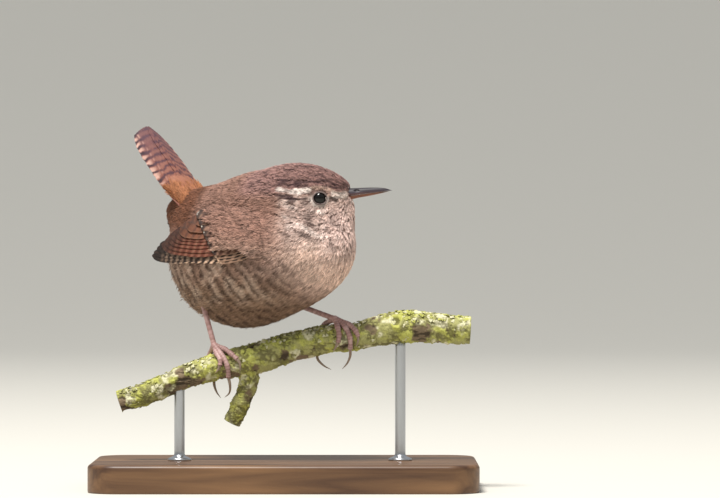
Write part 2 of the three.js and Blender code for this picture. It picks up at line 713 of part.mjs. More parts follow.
// Materials: colour, roughness and metalness of each kind of piece
const MATERIALS = {
  plumage: { color: '#8a6b55', roughness: 0.9, metalness: 0 },
  wing: { color: '#8a5236', roughness: 0.8, metalness: 0 },
  tail: { color: '#a8683c', roughness: 0.8, metalness: 0 },
  horn: { color: '#4b4049', roughness: 0.45, metalness: 0 },
  paleHorn: { color: '#8a6a4c', roughness: 0.45, metalness: 0 },
  eye: { color: '#14100f', roughness: 0.08, metalness: 0 },
  legSkin: { color: '#b08c88', roughness: 0.55, metalness: 0 },
  claw: { color: '#8d7a6a', roughness: 0.4, metalness: 0 },
  bark: { color: '#a0a560', roughness: 0.95, metalness: 0 },
  wood: { color: '#6f4a2f', roughness: 0.5, metalness: 0 },
  steel: { color: '#b9bcc0', roughness: 0.3, metalness: 1 },
};

function piece(name, body, material) {
  const { numProp, vertProperties, triVerts } = body.getMesh();
  const points = new Float32Array((vertProperties.length / numProp) * 3);
  for (let i = 0; i < points.length / 3; i += 1) {
    for (let k = 0; k < 3; k += 1) points[3 * i + k] = vertProperties[i * numProp + k];
  }
  const geometry = new THREE.BufferGeometry();
  geometry.setAttribute('position', new THREE.BufferAttribute(points, 3));
  geometry.setIndex(new THREE.BufferAttribute(new Uint32Array(triVerts), 1));
  geometry.computeVertexNormals();
  const mesh = new THREE.Mesh(geometry, new THREE.MeshStandardMaterial(MATERIALS[material]));
  mesh.name = name;
  return mesh;
}

const bird = new THREE.Group();
bird.add(
  piece('torso', torso, 'plumage'),
  piece('neck', neck, 'plumage'),
  piece('head', head, 'plumage'),
  piece('bill_upper', billUpper, 'horn'),
  piece('bill_lower', billLower, 'paleHorn'),
  piece('wing_right', wingRight, 'wing'),
  piece('wing_left', wingLeft, 'wing'),
  piece('tail', tailSolid, 'tail'));
for (const side of ['right', 'left']) {
  bird.add(piece(`eye_${side}`, ballAt(eyeSeats[side].middle, EYE_RADIUS), 'eye'));
  bird.add(piece(`leg_${side}`, feet[side].leg, 'legSkin'));
  bird.add(piece(`foot_${side}`, feet[side].foot, 'legSkin'));
  for (const [toe, claw] of Object.entries(feet[side].claws)) {
    bird.add(piece(`claw_${side}_${toe}`, claw, 'claw'));
  }
}

const display = new THREE.Group();
display.add(
  piece('perch', perchSolid, 'bark'),
  piece('perch_twig', twig, 'bark'),
  piece('stand_base', baseBoard(), 'wood'),
  piece('stand_rod_left', rod(ROD_X[0]), 'steel'),
  piece('stand_rod_right', rod(ROD_X[1]), 'steel'));

const group = new THREE.Group();
group.add(bird, display);

export default group;
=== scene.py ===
"""A still, life-size wren that grips a cut length of branch over a wooden base.

Numbers are millimetres and become metres in the meshes. +Z is up, +X to the right
of the bird's better side, +Y away from it; the origin is the middle of the base's
underside.
"""

import math

import bpy
import numpy as np
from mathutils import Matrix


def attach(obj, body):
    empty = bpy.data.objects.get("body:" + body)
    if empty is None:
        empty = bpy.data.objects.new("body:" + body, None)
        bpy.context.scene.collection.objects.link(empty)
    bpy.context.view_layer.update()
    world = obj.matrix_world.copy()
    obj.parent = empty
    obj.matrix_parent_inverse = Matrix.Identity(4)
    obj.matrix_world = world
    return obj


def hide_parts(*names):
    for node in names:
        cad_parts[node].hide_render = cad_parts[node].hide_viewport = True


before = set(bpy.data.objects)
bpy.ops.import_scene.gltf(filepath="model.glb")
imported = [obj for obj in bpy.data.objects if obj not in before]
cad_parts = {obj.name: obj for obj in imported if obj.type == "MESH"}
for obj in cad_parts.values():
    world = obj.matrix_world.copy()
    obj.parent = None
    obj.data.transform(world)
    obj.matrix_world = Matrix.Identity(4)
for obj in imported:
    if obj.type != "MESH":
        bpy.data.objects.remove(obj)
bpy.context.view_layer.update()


# The studio: a pale matt floor that curves up all round into a low wall, an even
# overcast sky and one broad soft lamp high in front. The camera is level with the
# bird and far off, through a long lens.
CAMERA_AT = (21.43, -1142.86, 68.29)
LENS, SENSOR = 200, 36
FLOOR_FLAT, FLOOR_EDGE, FLOOR_RISE, FLOOR_SIDES = 1500, 4200, 1700, 96
LAMP_AT, LAMP_AIM = (-350, -620, 1850), (0, 0, 60)
LAMP_SIZE, LAMP_POWER, SKY_STRENGTH = 0.6, 58, 0.6


def linear(code):
    """Linear red, green and blue of an sRGB hex code."""
    parts = np.array([int(code[i:i + 2], 16) for i in (1, 3, 5)]) / 255
    return np.where(parts <= 0.04045, parts / 12.92, ((parts + 0.055) / 1.055) ** 2.4)


def node(tree, kind, values=None, links=None, **settings):
    """Adds a shader node with its settings, input values and linked inputs."""
    made = tree.nodes.new("ShaderNode" + kind)
    for key, value in settings.items():
        setattr(made, key, value)
    for key, value in (values or {}).items():
        made.inputs[key].default_value = value
    for key, socket in (links or {}).items():
        tree.links.new(socket, made.inputs[key])
    return made


def finish(name, colour, roughness, metallic=0.0, **more):
    """A material with a principled surface; gives it, its tree and that surface."""
    made = bpy.data.materials.new(name)
    made.use_nodes = True
    surface = made.node_tree.nodes["Principled BSDF"]
    surface.inputs["Base Color"].default_value = (*linear(colour), 1)
    surface.inputs["Roughness"].default_value = roughness
    surface.inputs["Metallic"].default_value = metallic
    for key, value in more.items():
        surface.inputs[key.replace("_", " ")].default_value = value
    return made, made.node_tree, surface


def mesh_object(name, points, faces, material, tint=None, bake=None, smooth=True):
    """Links a mesh of points in millimetres; tint is a linear colour and bake a place
    on the flat map, each for every point (bake may be for every corner)."""
    mesh = bpy.data.meshes.new(name)
    count, sides = faces.shape
    mesh.vertices.add(len(points))
    mesh.vertices.foreach_set("co", (np.asarray(points) * 0.001).astype(np.float32).ravel())
    mesh.loops.add(count * sides)
    mesh.loops.foreach_set("vertex_index", faces.astype(np.int32).ravel())
    mesh.polygons.add(count)
    mesh.polygons.foreach_set("loop_start", np.arange(0, count * sides, sides, dtype=np.int32))
    mesh.polygons.foreach_set("use_smooth", np.full(count, smooth))
    mesh.update(calc_edges=True)
    if tint is not None:
        full = np.ones((len(points), 4), np.float32)
        full[:, :3] = tint
        mesh.attributes.new("tint", "FLOAT_COLOR", "POINT").data.foreach_set("color", full.ravel())
    if bake is not None:
        corners = bake if bake.ndim == 3 else bake[faces]
        layer = mesh.uv_layers.new(name="OFBake")
        layer.uv.foreach_set("vector", corners.astype(np.float32).ravel())
    mesh.materials.append(material)
    return linked(name, mesh)


def linked(name, data):
    """A new object in the scene that shows the data."""
    made = bpy.data.objects.new(name, data)
    bpy.context.scene.collection.objects.link(made)
    return made


def turns(count):
    """Angles spread evenly round a full turn, from 0."""
    return np.linspace(0, 2 * np.pi, count + 1)[:-1]


def add_floor():
    """Rings of radius r at z = rise * ((r - flat) / (edge - flat)) ^ 2.2, flat inside."""
    r = np.concatenate([np.linspace(0, FLOOR_FLAT, 6), np.linspace(FLOOR_FLAT, FLOOR_EDGE, 30)[1:]])
    turn = turns(FLOOR_SIDES)
    out = np.clip((r - FLOOR_FLAT) / (FLOOR_EDGE - FLOOR_FLAT), 0, 1)
    z = FLOOR_RISE * out ** 2.2
    grid = np.stack([r[:, None] * np.cos(turn), r[:, None] * np.sin(turn),
                     np.repeat(z[:, None], FLOOR_SIDES, 1)], -1)
    at = np.arange(len(r) * FLOOR_SIDES).reshape(len(r), FLOOR_SIDES)
    on = np.roll(at, -1, axis=1)
    quads = np.stack([at[1:-1], at[2:], on[2:], on[1:-1]], -1).reshape(-1, 4)
    middle = np.stack([on[1], np.zeros(FLOOR_SIDES, int), at[1]], -1)
    faces = np.concatenate([quads[:, [0, 1, 2]], quads[:, [0, 2, 3]], middle])
    # Paper: without any gloss, so the floor takes only soft shadows
    pale = finish("matt pale paper floor", "#cfccc3", 0.95)[0]
    mesh_object("floor", grid.reshape(-1, 3), faces, pale)


def add_camera_and_light():
    """The lamp is turned so that its own -Z runs from its place to what it lights."""
    camera = linked("camera", bpy.data.cameras.new("camera"))
    bpy.context.scene.camera = camera
    camera.data.lens, camera.data.sensor_width, camera.data.clip_end = LENS, SENSOR, 20
    camera.location = [0.001 * c for c in CAMERA_AT]
    camera.rotation_euler = (math.pi / 2, 0, 0)
    lamp = linked("soft lamp", bpy.data.lights.new("soft lamp", "AREA"))
    lamp.data.shape = "DISK"
    lamp.data.size, lamp.data.energy = LAMP_SIZE, LAMP_POWER
    lamp.data.color = (1.0, 0.975, 0.94)
    lamp.location = [0.001 * c for c in LAMP_AT]
    down = np.subtract(LAMP_AIM, LAMP_AT)
    down = down / np.linalg.norm(down)
    lamp.rotation_euler = (math.acos(-down[2]), 0, math.atan2(down[1], down[0]) - math.pi / 2)
    sky = bpy.data.worlds.new("overcast sky")
    bpy.context.scene.world = sky
    sky.use_nodes = True
    background = sky.node_tree.nodes["Background"].inputs
    background["Color"].default_value = (*linear("#e9edf2"), 1)
    background["Strength"].default_value = SKY_STRENGTH
    bpy.context.scene.view_settings.view_transform = "Standard"


add_floor()
add_camera_and_light()


# The base: a solid walnut board with rounded corners and a softened top edge,
# sanded and finished with satin oil.
BASE_LONG, BASE_WIDE, BASE_THICK = 110, 60, 8
BASE_CORNER, BASE_BEVEL = 9, 1.2


def ring_skin(rings, start, end):
    """Closed skin over rings, (rows, around, 3), with a point closing each end.
    Gives points and triangles that face outward."""
    rows, around = rings.shape[:2]
    points = np.concatenate([np.reshape(start, (1, 3)), rings.reshape(-1, 3),
                             np.reshape(end, (1, 3))])
    at = 1 + np.arange(rows * around).reshape(rows, around)
    on = np.roll(at, -1, axis=1)
    quads = np.stack([at[:-1], on[:-1], on[1:], at[1:]], -1).reshape(-1, 4)
    first = np.stack([np.zeros(around, int), on[0], at[0]], -1)
    last = np.stack([at[-1], on[-1], np.full(around, len(points) - 1)], -1)
    faces = np.concatenate([quads[:, [0, 1, 2]], quads[:, [0, 2, 3]], first, last])
    return points, outward(points, faces)


def outward(points, faces):
    """Turns all faces round where their signed volume, sum a . (b x c) / 6, is negative."""
    a, b, c = (points[faces[:, k]] for k in range(3))
    if np.einsum("ij,ij->", a, np.cross(b, c)) < 0:
        return faces[:, ::-1]
    return faces


def several(parts):
    """Joins (points, faces) pairs into one."""
    starts = np.cumsum([0] + [len(points) for points, _ in parts])
    return (np.concatenate([points for points, _ in parts]),
            np.concatenate([faces + start for (_, faces), start in zip(parts, starts)]))


def part(name, shape, material, slot, replaced=(), **more):
    """A finished piece of the model: it rides on the root, stands for the nodes it
    replaces and takes the given material; slot is not used."""
    made = mesh_object(name, *shape, material, **more)
    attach(made, "root")
    if replaced:
        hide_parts(*replaced)
    return made


def bump(tree, surface, height, strength, distance):
    """Relief on a surface from a height socket, distance in metres."""
    made = node(tree, "Bump", {"Strength": strength, "Distance": distance}, {"Height": height})
    tree.links.new(made.outputs["Normal"], surface.inputs["Normal"])


def add_base():
    """Rounded rectangles of growing inset stacked over the board's side and bevel."""
    quarter = np.linspace(0, np.pi / 2, 10)
    turn = np.concatenate([quarter + k * np.pi / 2 for k in range(4)])
    sign = np.repeat([[1, 1], [-1, 1], [-1, -1], [1, -1]], 10, axis=0)
    steps = [(3.0, 0.0), (0.4, 0.0), (0.1, 0.12), (0.0, 0.4)]
    steps += [(0.0, z) for z in np.linspace(1, BASE_THICK - BASE_BEVEL, 4)]
    steps += [(BASE_BEVEL * (1 - math.cos(a)), BASE_THICK - BASE_BEVEL * (1 - math.sin(a)))
              for a in np.linspace(0.15, np.pi / 2, 8)]
    steps += [(BASE_BEVEL + 6, BASE_THICK)]
    rings = []
    for inset, z in steps:
        corner = max(BASE_CORNER - inset, 1.0)
        middle = np.array([BASE_LONG / 2, BASE_WIDE / 2]) - inset - corner
        flat = sign * middle + corner * np.stack([np.cos(turn), np.sin(turn)], -1)
        rings.append(np.column_stack([flat, np.full(len(flat), z)]))
    shape = ring_skin(np.array(rings), (0, 0, 0), (0, 0, BASE_THICK))
    # Satin oil: a broad soft sheen over streaked grain with fine open pores
    walnut, tree, surface = finish("oiled walnut", "#6f4a2f", 0.42)
    place = node(tree, "TexCoord").outputs["Object"]
    stretched = node(tree, "Mapping", {"Scale": (14, 230, 230)}, {"Vector": place})
    grain = node(tree, "TexNoise", {"Scale": 1.0, "Detail": 6, "Distortion": 0.6},
                 {"Vector": stretched.outputs["Vector"]})
    pores = node(tree, "TexNoise", {"Scale": 9.0, "Detail": 3},
                 {"Vector": stretched.outputs["Vector"]})
    ramp = node(tree, "ValToRGB", links={"Fac": grain.outputs["Fac"]})
    for stop, at, colour in zip(ramp.color_ramp.elements, (0.3, 0.72), ("#3f2617", "#83603f")):
        stop.position, stop.color = at, (*linear(colour), 1)
    tree.links.new(ramp.outputs["Color"], surface.inputs["Base Color"])
    bump(tree, surface, pores.outputs["Fac"], 0.25, 0.0001)
    part("base", shape, walnut, "base_wood", ["stand_base"])


add_base()


# The rods: two lengths of brushed steel with a low round foot on the board. They
# end inside the branch, which is drilled for them.
ROD_X = (-30, 32.9)
ROD_RADIUS = 1.5
PERCH_Y = -3
ROD_TOP = (29.5, 43.5)


def add_rods():
    """Turned profiles (radius, height) with a foot, a straight shank and a closed top."""
    # Turned steel: fine rings blur its reflections into bright upright bands
    steel, tree, surface = finish("brushed steel", "#b9bcc0", 0.3, 1.0)
    place = node(tree, "TexCoord").outputs["Object"]
    lines = node(tree, "Mapping", {"Scale": (300, 300, 9000)}, {"Vector": place})
    brushed = node(tree, "TexNoise", {"Scale": 1.0, "Detail": 2},
                   {"Vector": lines.outputs["Vector"]})
    bump(tree, surface, brushed.outputs["Fac"], 0.12, 0.00004)
    turn = turns(40)
    for side, x, top in zip(("left", "right"), ROD_X, ROD_TOP):
        low = BASE_THICK - 0.1
        profile = np.array([(3.2, low), (3.4, low + 0.25), (3.3, low + 0.75), (2.4, low + 1.15),
                            (1.75, low + 1.4), (1.5, low + 2.0)]
                           + [(ROD_RADIUS, z) for z in np.linspace(low + 3, top, 12)])
        radius, height = profile[:, :1], profile[:, 1:]
        rings = np.stack([x + radius * np.cos(turn), PERCH_Y + radius * np.sin(turn),
                          np.repeat(height, 40, 1)], -1)
        shape = ring_skin(rings, (x, PERCH_Y, low), (x, PERCH_Y, top))
        part("rod_" + side, shape, steel, "rod_steel", ["stand_rod_" + side])


add_rods()


# The perch: a cut length of dead branch, its bark cracked lengthwise and mostly
# under a yellow-green crust of lichen with small curled lobes. A stub of twig
# hangs below, and both ends are sawn.
PERCH_LINE = [(-47.1, 24.6), (-38.6, 27.4), (-24.3, 33.3), (-17.1, 35.1), (-10.0, 36.7),
              (4.3, 40.9), (14.3, 42.9), (18.6, 43.1), (32.9, 46.0), (47.1, 45.4), (52.9, 45.1)]
PERCH_RADII = [(-48, 3.0), (-38.6, 3.1), (-24.3, 3.4), (-17, 3.7), (-10, 4.3), (4.3, 4.0),
               (18.6, 3.7), (32.9, 4.6), (47, 3.9), (54, 3.7)]
TWIG_LINE = [(-10.5, 36.5), (-10.2, 31), (-11.3, 27), (-13, 23), (-15.2, 18.8)]
KNOT_AT = (31.7, -6.8, 47.5)
BRANCH_CRUST, TWIG_CRUST = -0.75, -0.55
BRANCH_SINK, TWIG_SINK = 0.18, 0.12
LICHEN_LOBES = 1300
AXIS_STEP = 0.3


def noise(points, size, seed=0):
    """Smooth value noise from -1 to 1, in lumps about size across."""
    cell = np.asarray(points, float) / size
    low = np.floor(cell).astype(np.int64)
    near = cell - low
    near = near * near * (3 - 2 * near)
    total = np.zeros(cell.shape[:-1])
    for corner in range(8):
        step = np.array([corner & 1, corner >> 1 & 1, corner >> 2])
        x, y, z = np.moveaxis(low + step, -1, 0)
        mixed = (x * 73856093) ^ (y * 19349663) ^ (z * 83492791) ^ (seed * 2654435761)
        mixed = ((mixed ^ (mixed >> 13)) * 1274126177) & 0x7FFFFFFF
        value = ((mixed ^ (mixed >> 15)) & 0xFFFF) / 32767.5
        total += np.prod(np.where(step, near, 1 - near), axis=-1) * value
    return total - 1


def rough(points, size, seed=0, levels=4):
    """Noise summed over levels, each half the size and 0.55 the height of the last."""
    return sum(0.55 ** k * noise(points, size / 2 ** k, seed + k) for k in range(levels))


def ease(low, high, value):
    """0 below low, 1 above high, and smooth between."""
    t = np.clip((value - low) / (high - low), 0, 1)
    return t * t * (3 - 2 * t)


def line_through(stops, count):
    """Points along the centripetal Catmull-Rom line through the stops."""
    stops = np.asarray(stops, float)
    full = np.concatenate([[2 * stops[0] - stops[1]], stops, [2 * stops[-1] - stops[-2]]])
    gaps = np.sqrt(np.linalg.norm(np.diff(full, axis=0), axis=1))[:, None]
    along = np.linspace(0, len(stops) - 1, count)
    at = np.minimum(along.astype(int), len(stops) - 2)
    t = (along - at)[:, None]
    a, b, c, d = (full[at + k] for k in range(4))
    g0, g1, g2 = gaps[at], gaps[at + 1], gaps[at + 2]
    leave = ((b - a) / g0 - (c - a) / (g0 + g1) + (c - b) / g1) * g1
    arrive = ((c - b) / g1 - (d - b) / (g1 + g2) + (d - c) / g2) * g1
    return (b + leave * t + (-3 * b + 3 * c - 2 * leave - arrive) * t ** 2
            + (2 * b - 2 * c + leave + arrive) * t ** 3)


def unit(v):
    """Vectors scaled to length 1."""
    return v / np.maximum(np.linalg.norm(v, axis=-1, keepdims=True), 1e-12)


def tube(line, radius, sides, square=1.0):
    """Rings round a line: p + r (cos a n + square sin a b), where n and b are carried
    along without twist. radius is one per place or one per place and side."""
    ways = unit(np.gradient(line, axis=0))
    normals = np.empty_like(line)
    normals[0] = unit(np.cross(ways[0], np.eye(3)[np.argmin(np.abs(ways[0]))]))
    for i in range(1, len(line)):
        normals[i] = unit(normals[i - 1] - ways[i] * (normals[i - 1] @ ways[i]))
    beside = np.cross(ways, normals)
    turn = turns(sides)
    radius = np.broadcast_to(np.reshape(radius, (len(line), -1)), (len(line), sides))[..., None]
    return (line[:, None] + radius * (np.cos(turn)[:, None] * normals[:, None]
                                      + square * np.sin(turn)[:, None] * beside[:, None]))


def palette(**codes):
    """Linear colours by name."""
    return {name: linear(code) for name, code in codes.items()}


def perch_radius(x):
    """Radius of the branch at x, smooth steps between the measured ones."""
    xs, rs = np.transpose(PERCH_RADII)
    at = np.clip(np.searchsorted(xs, x), 1, len(xs) - 1)
    return rs[at - 1] + (rs[at] - rs[at - 1]) * ease(xs[at - 1], xs[at], x)


perch_axis = line_through([(x, PERCH_Y, z) for x, z in PERCH_LINE], 1200)


def axis_at(x):
    """Places on the branch's axis at x."""
    return np.stack([np.interp(x, perch_axis[:, 0], perch_axis[:, k]) for k in range(3)], -1)


def over_perch(x, degrees, out):
    """The place out from the branch's axis at x, turned from the top towards -Y."""
    at = axis_at(x)
    along = unit(axis_at(x + AXIS_STEP) - at)
    up = np.array([-along[2], 0, along[0]])
    turn = math.radians(degrees)
    return at + out * (math.cos(turn) * up - math.sin(turn) * np.array([0, 1, 0]))


def bark_height(points, around, crust_line):
    """Bark relief: long cracks by noise stretched along the branch, and a lichen crust
    of rounded pads where its own noise passes crust_line. Gives height and cover."""
    stretched = points * [0.3, 1, 1]
    cracks = -0.28 * ease(0.1, 0.45, rough(stretched, 1.3, 3, 3))
    lumps = 0.22 * rough(points, 3.1, 9, 2)
    cover = ease(crust_line, crust_line + 0.35, rough(points, 4.2, 21, 4) + 0.35 * np.cos(around))
    pads = 0.16 + 0.42 * np.abs(rough(points, 1.5, 33, 4))
    return lumps + cracks * (1 - 0.7 * cover) + cover * pads, cover


# Bark brown, its painted shade in the cracks, lichen green, olive and pale grey, and the crust's
# painted shade between its pads
BARK_COLOURS = [linear(code) for code in ("#7d6c55", "#463b2c", "#b3b45c", "#9d9b63",
                                          "#dad6b6", "#5a5433")]
SAWN_WOOD = linear("#b08f63")


def bark_tint(points, cover, height):
    """Bark brown, with painted shade where the relief is low in the cracks; crust mottled
    from yellow-green to grey, with painted shade low between its pads.
    """
    brown, crack_shade, green, olive, grey, deep = BARK_COLOURS
    # Painted shade: the bark darkens where its relief sinks below 0
    wood = brown + (crack_shade - brown) * ease(0.0, -0.25, height)[:, None]
    mottle = ease(-0.35, 0.4, rough(points, 2.6, 45, 3))[:, None]
    pale = ease(0.15, 0.55, rough(points, 3.4, 57, 3))[:, None]
    crust = olive + (green - olive) * mottle
    crust = crust + (grey - crust) * 0.8 * pale
    # Painted shade: the crust darkens where its pads are low
    crust = crust + (deep - crust) * 0.75 * ease(0.30, 0.12, height)[:, None]
    return wood + (crust - wood) * cover[:, None]


def tinted(name, colour, roughness, **more):
    """A finish coloured by each point's own tint; also gives the node that reads it."""
    made, tree, surface = finish(name, colour, roughness, **more)
    tint = node(tree, "Attribute", attribute_name="tint")
    tree.links.new(tint.outputs["Color"], surface.inputs["Base Color"])
    return made, tree, surface, tint


def bark_finish():
    """Dry crust: no sheen at all, and a gritty relief that breaks up the light."""
    bark, tree, surface, colour = tinted("lichen-crusted bark", "#a0a560", 0.95)
    place = node(tree, "TexCoord").outputs["Object"]
    grit = node(tree, "TexNoise", {"Scale": 2600, "Detail": 5}, {"Vector": place})
    shade = node(tree, "MixRGB", {"Fac": 0.35}, blend_type="OVERLAY", links={
        "Color1": colour.outputs["Color"], "Color2": grit.outputs["Fac"]})
    tree.links.new(shade.outputs["Color"], surface.inputs["Base Color"])
    bump(tree, surface, grit.outputs["Fac"], 0.6, 0.00022)
    return bark


def add_bark(name, replaced, bark, line, rings, plain, cover, height):
    """One barked length from its rings, closed by sawn wood at both ends."""
    tint = bark_tint(plain.reshape(-1, 3), cover.ravel(), height.ravel())
    tints = np.concatenate([[SAWN_WOOD], tint, [SAWN_WOOD]])
    part(name, ring_skin(rings, line[0], line[-1]), bark, "bark", [replaced], tint=tints)


def add_branch(bark):
    """Rings of radius + relief round the axis, the knot a raised lip round a hollow."""
    steps, sides = 470, 114
    line = line_through([(x, PERCH_Y, z) for x, z in PERCH_LINE], steps)
    ends = np.linspace(PERCH_LINE[0][0], PERCH_LINE[-1][0], steps)
    line = np.stack([np.interp(ends, line[:, 0], line[:, k]) for k in range(3)], -1)
    along = unit(np.gradient(line, axis=0))
    up = np.stack([-along[:, 2], np.zeros(steps), along[:, 0]], -1)
    turn = turns(sides)
    way = np.cos(turn)[:, None] * up[:, None] - np.sin(turn)[:, None] * np.array([0, 1, 0])
    base = perch_radius(line[:, 0])[:, None]
    plain = line[:, None] + (base[..., None] - 0.15) * way
    height, cover = bark_height(plain, np.broadcast_to(turn, (steps, sides)), BRANCH_CRUST)
    knot = np.linalg.norm(plain - KNOT_AT, axis=-1)
    height = height + 0.5 * np.exp(-((knot - 1.6) / 0.55) ** 2) - 0.9 * np.exp(-(knot / 1.2) ** 2)
    rings = line[:, None] + (base + height - BRANCH_SINK)[..., None] * way
    add_bark("perch", "perch", bark, line, rings, plain, cover, height)


def add_twig(bark):
    """The stub as a tube that thins from 2.75 to 2.4, with the same relief."""
    steps, sides = 150, 90
    line = line_through([(x, PERCH_Y + 0.5 * i, z) for i, (x, z) in enumerate(TWIG_LINE)], steps)
    radius = 2.75 - 0.35 * np.linspace(0, 1, steps)
    plain = tube(line, radius - 0.15, sides)
    around = np.broadcast_to(turns(sides), (steps, sides))
    height, cover = bark_height(plain[..., [2, 1, 0]], around, TWIG_CRUST)
    rings = tube(line, radius[:, None] + height - TWIG_SINK, sides)
    add_bark("twig", "perch_twig", bark, line, rings, plain, cover, height)


def add_lichen(bark):
    """Lobes with a wavy rim, r = size (1 + 0.28 cos 3a + 0.12 cos 5a), curled up from
    the crust, each a closed cup of four rings."""
    rng = np.random.default_rng(5)
    x = rng.uniform(-46, 52, LICHEN_LOBES)
    turn = rng.normal(0, 1.15, LICHEN_LOBES)
    at = axis_at(x)
    along = unit(axis_at(x + AXIS_STEP) - at)
    up = np.stack([-along[:, 2], 0 * x, along[:, 0]], -1)
    out = np.cos(turn)[:, None] * up - np.sin(turn)[:, None] * np.array([0, 1, 0])
    root = at + out * (perch_radius(x)[:, None] + 0.05)
    keep = rough(root, 4.2, 21, 4) + 0.35 * np.cos(turn) > 0.0
    root, out, along = root[keep], out[keep], along[keep]
    count = len(root)
    spin = rng.uniform(0, 2 * np.pi, count)
    ahead = np.cos(spin)[:, None] * along + np.sin(spin)[:, None] * np.cross(out, along)
    beside = np.cross(out, ahead)
    size = rng.uniform(0.2, 0.6, count)[:, None]
    rim = turns(12)
    lobe = (1 + 0.28 * np.cos(3 * rim + rng.uniform(0, 6, (count, 1)))
            + 0.12 * np.cos(5 * rim + rng.uniform(0, 6, (count, 1))))
    curl = 0.16 + 0.3 * rng.uniform(0, 1, (count, 1)) + 0.12 * np.cos(2 * rim)
    around = np.cos(rim)[:, None] * ahead[:, None] + np.sin(rim)[:, None] * beside[:, None]
    rings = np.stack([
        root[:, None] + (size * lobe * wide)[..., None] * around
        + (curl * lift * size + 0.05)[..., None] * out[:, None]
        for wide, lift in ((0.45, 0.02), (1.0, 1.0), (0.97, 1.35), (0.45, 0.75))], 1)
    high = root + out * (0.3 * size + 0.08)
    lobes = several([ring_skin(rings[i], root[i], high[i]) for i in range(count)])
    each = len(lobes[0]) // count
    shade = np.repeat(rng.uniform(0.72, 1.12, count), each)[:, None]
    mottle = np.repeat(ease(-0.4, 0.5, rough(root, 2.6, 45, 3)), each)[:, None]
    grey = np.repeat(rng.uniform(0, 1, count) < 0.35, each)[:, None] * 0.7
    tints = (BARK_COLOURS[3] + (BARK_COLOURS[2] - BARK_COLOURS[3]) * mottle) * shade
    tints = tints + (BARK_COLOURS[4] - tints) * grey
    part("lichen", lobes, bark, "bark", tint=tints)


crusted_bark = bark_finish()
add_branch(crusted_bark)
add_twig(crusted_bark)
add_lichen(crusted_bark)


# The flesh: the bird's bare form under its feathers, one smooth blend of six
# egg-shaped masses. A thin skin just inside it carries the same colours as the
# feathers, so nothing pale shows between them.
BODY_CENTRE = np.array([-6.6, 0, 69.1])
BODY_YAW, NAPE_YAW, HEAD_YAW = (math.radians(a) for a in (-35, -20, -6))
FORM_BLEND = 2
# Middle ahead, left and up of the body centre; half sizes; yaw; pitch
FLESH = [
    ((-9.8, 0, -3.6), (21.5, 15.2, 17.7), BODY_YAW, -34),
    ((3.0, 0, -4.4), (27.1, 17.6, 15.5), BODY_YAW, 11),
    ((-16.9, 0, 8.7), (16.5, 6.8, 7.5), BODY_YAW, -6),
    ((-3.7, 0.2, 13.7), (13.3, 9.8, 7.0), NAPE_YAW, 17),
    ((12.5, 0, 9.3), (15.9, 7.0, 14.0), HEAD_YAW, 3),
    ((17.7, 2.3, 16.1), (8.0, 5.0, 3.0), HEAD_YAW, 0),
]
SKIN_DEPTH = 1.0
DEEP_SHADE = 0.8
BILL_BASE = np.array([18.9, -9.1, 83.9])
EYE_AHEAD, EYE_Z, EYE_RADIUS, EYE_SHOWS = 7.25, 82.6, 2.15, 0.75
UP = np.array([0.0, 0, 1])


def heading(yaw):
    """Unit vectors ahead and to the left at a yaw."""
    return (np.array([math.cos(yaw), math.sin(yaw), 0]),
            np.array([-math.sin(yaw), math.cos(yaw), 0]))


body_ahead, body_left = heading(BODY_YAW)
head_ahead, head_left = heading(HEAD_YAW)


def bird_point(f, l, u):
    """A place given ahead, left and above of the body centre."""
    return (BODY_CENTRE + np.multiply.outer(f, body_ahead) + np.multiply.outer(l, body_left)
            + np.multiply.outer(u, UP))


def flesh_form(at, half, yaw, pitch):
    """Middle, half sizes and the turn Rz(yaw) Ry(-pitch) of one mass."""
    ahead, left = heading(yaw)
    p = math.radians(pitch)
    nose = math.cos(p) * ahead + math.sin(p) * UP
    return bird_point(*at), np.array(half), np.stack([nose, left, np.cross(nose, left)], -1)


flesh_forms = [flesh_form(*row) for row in FLESH]
head_middle = flesh_forms[4][0]


def flesh_distance(points, forms=flesh_forms):
    """-b ln(sum exp(-d / b)), d = q (q - 1) / |q / half| for each mass's scaled q."""
    total = 0
    for middle, half, turn in forms:
        q = (points - middle) @ turn / half
        near = np.linalg.norm(q, axis=-1)
        slope = np.linalg.norm(q / half, axis=-1)
        total = total + np.exp(-near * (near - 1) / np.maximum(slope, 1e-9) / FORM_BLEND)
    return -FORM_BLEND * np.log(total)


def reach(start, way, offset, forms=flesh_forms, most=60.0):
    """How far along each way the flesh distance comes to offset, by halving."""
    low = np.zeros(np.broadcast_shapes(np.shape(start), np.shape(way))[:-1])
    high = low + most
    for _ in range(22):
        middle = (low + high) / 2
        inside = flesh_distance(start + middle[..., None] * way, forms) < offset
        low = np.where(inside, middle, low)
        high = np.where(inside, high, middle)
    return (low + high) / 2


def normals_at(points, forms=flesh_forms):
    """Unit gradient of the flesh distance by central differences."""
    steps = 0.3 * np.eye(3)
    return unit(np.stack([flesh_distance(points + step, forms)
                          - flesh_distance(points - step, forms) for step in steps], -1))


def along_surface(ways, normals):
    """Unit ways with what stands along the normals taken out."""
    return unit(ways - normals * np.einsum("ij,ij->i", ways, normals)[:, None])


def eye_seat(side):
    """Middle of the eyeball and the way it looks, on a side, +1 left."""
    core = head_middle + EYE_AHEAD * head_ahead
    core[2] = EYE_Z
    skin = core + reach(core, side * head_left, 0.0) * side * head_left
    normal = normals_at(skin)
    return skin + (EYE_SHOWS - EYE_RADIUS) * normal, normal


eye_seats = {"right": eye_seat(-1), "left": eye_seat(1)}


def layered(colours, base, *layers):
    """Starts from the base colour and moves by each weight towards its colour."""
    tint = colours[base][None]
    for name, weight in layers:
        tint = tint + (colours[name] - tint) * np.clip(weight, 0, 1)[:, None]
    return tint


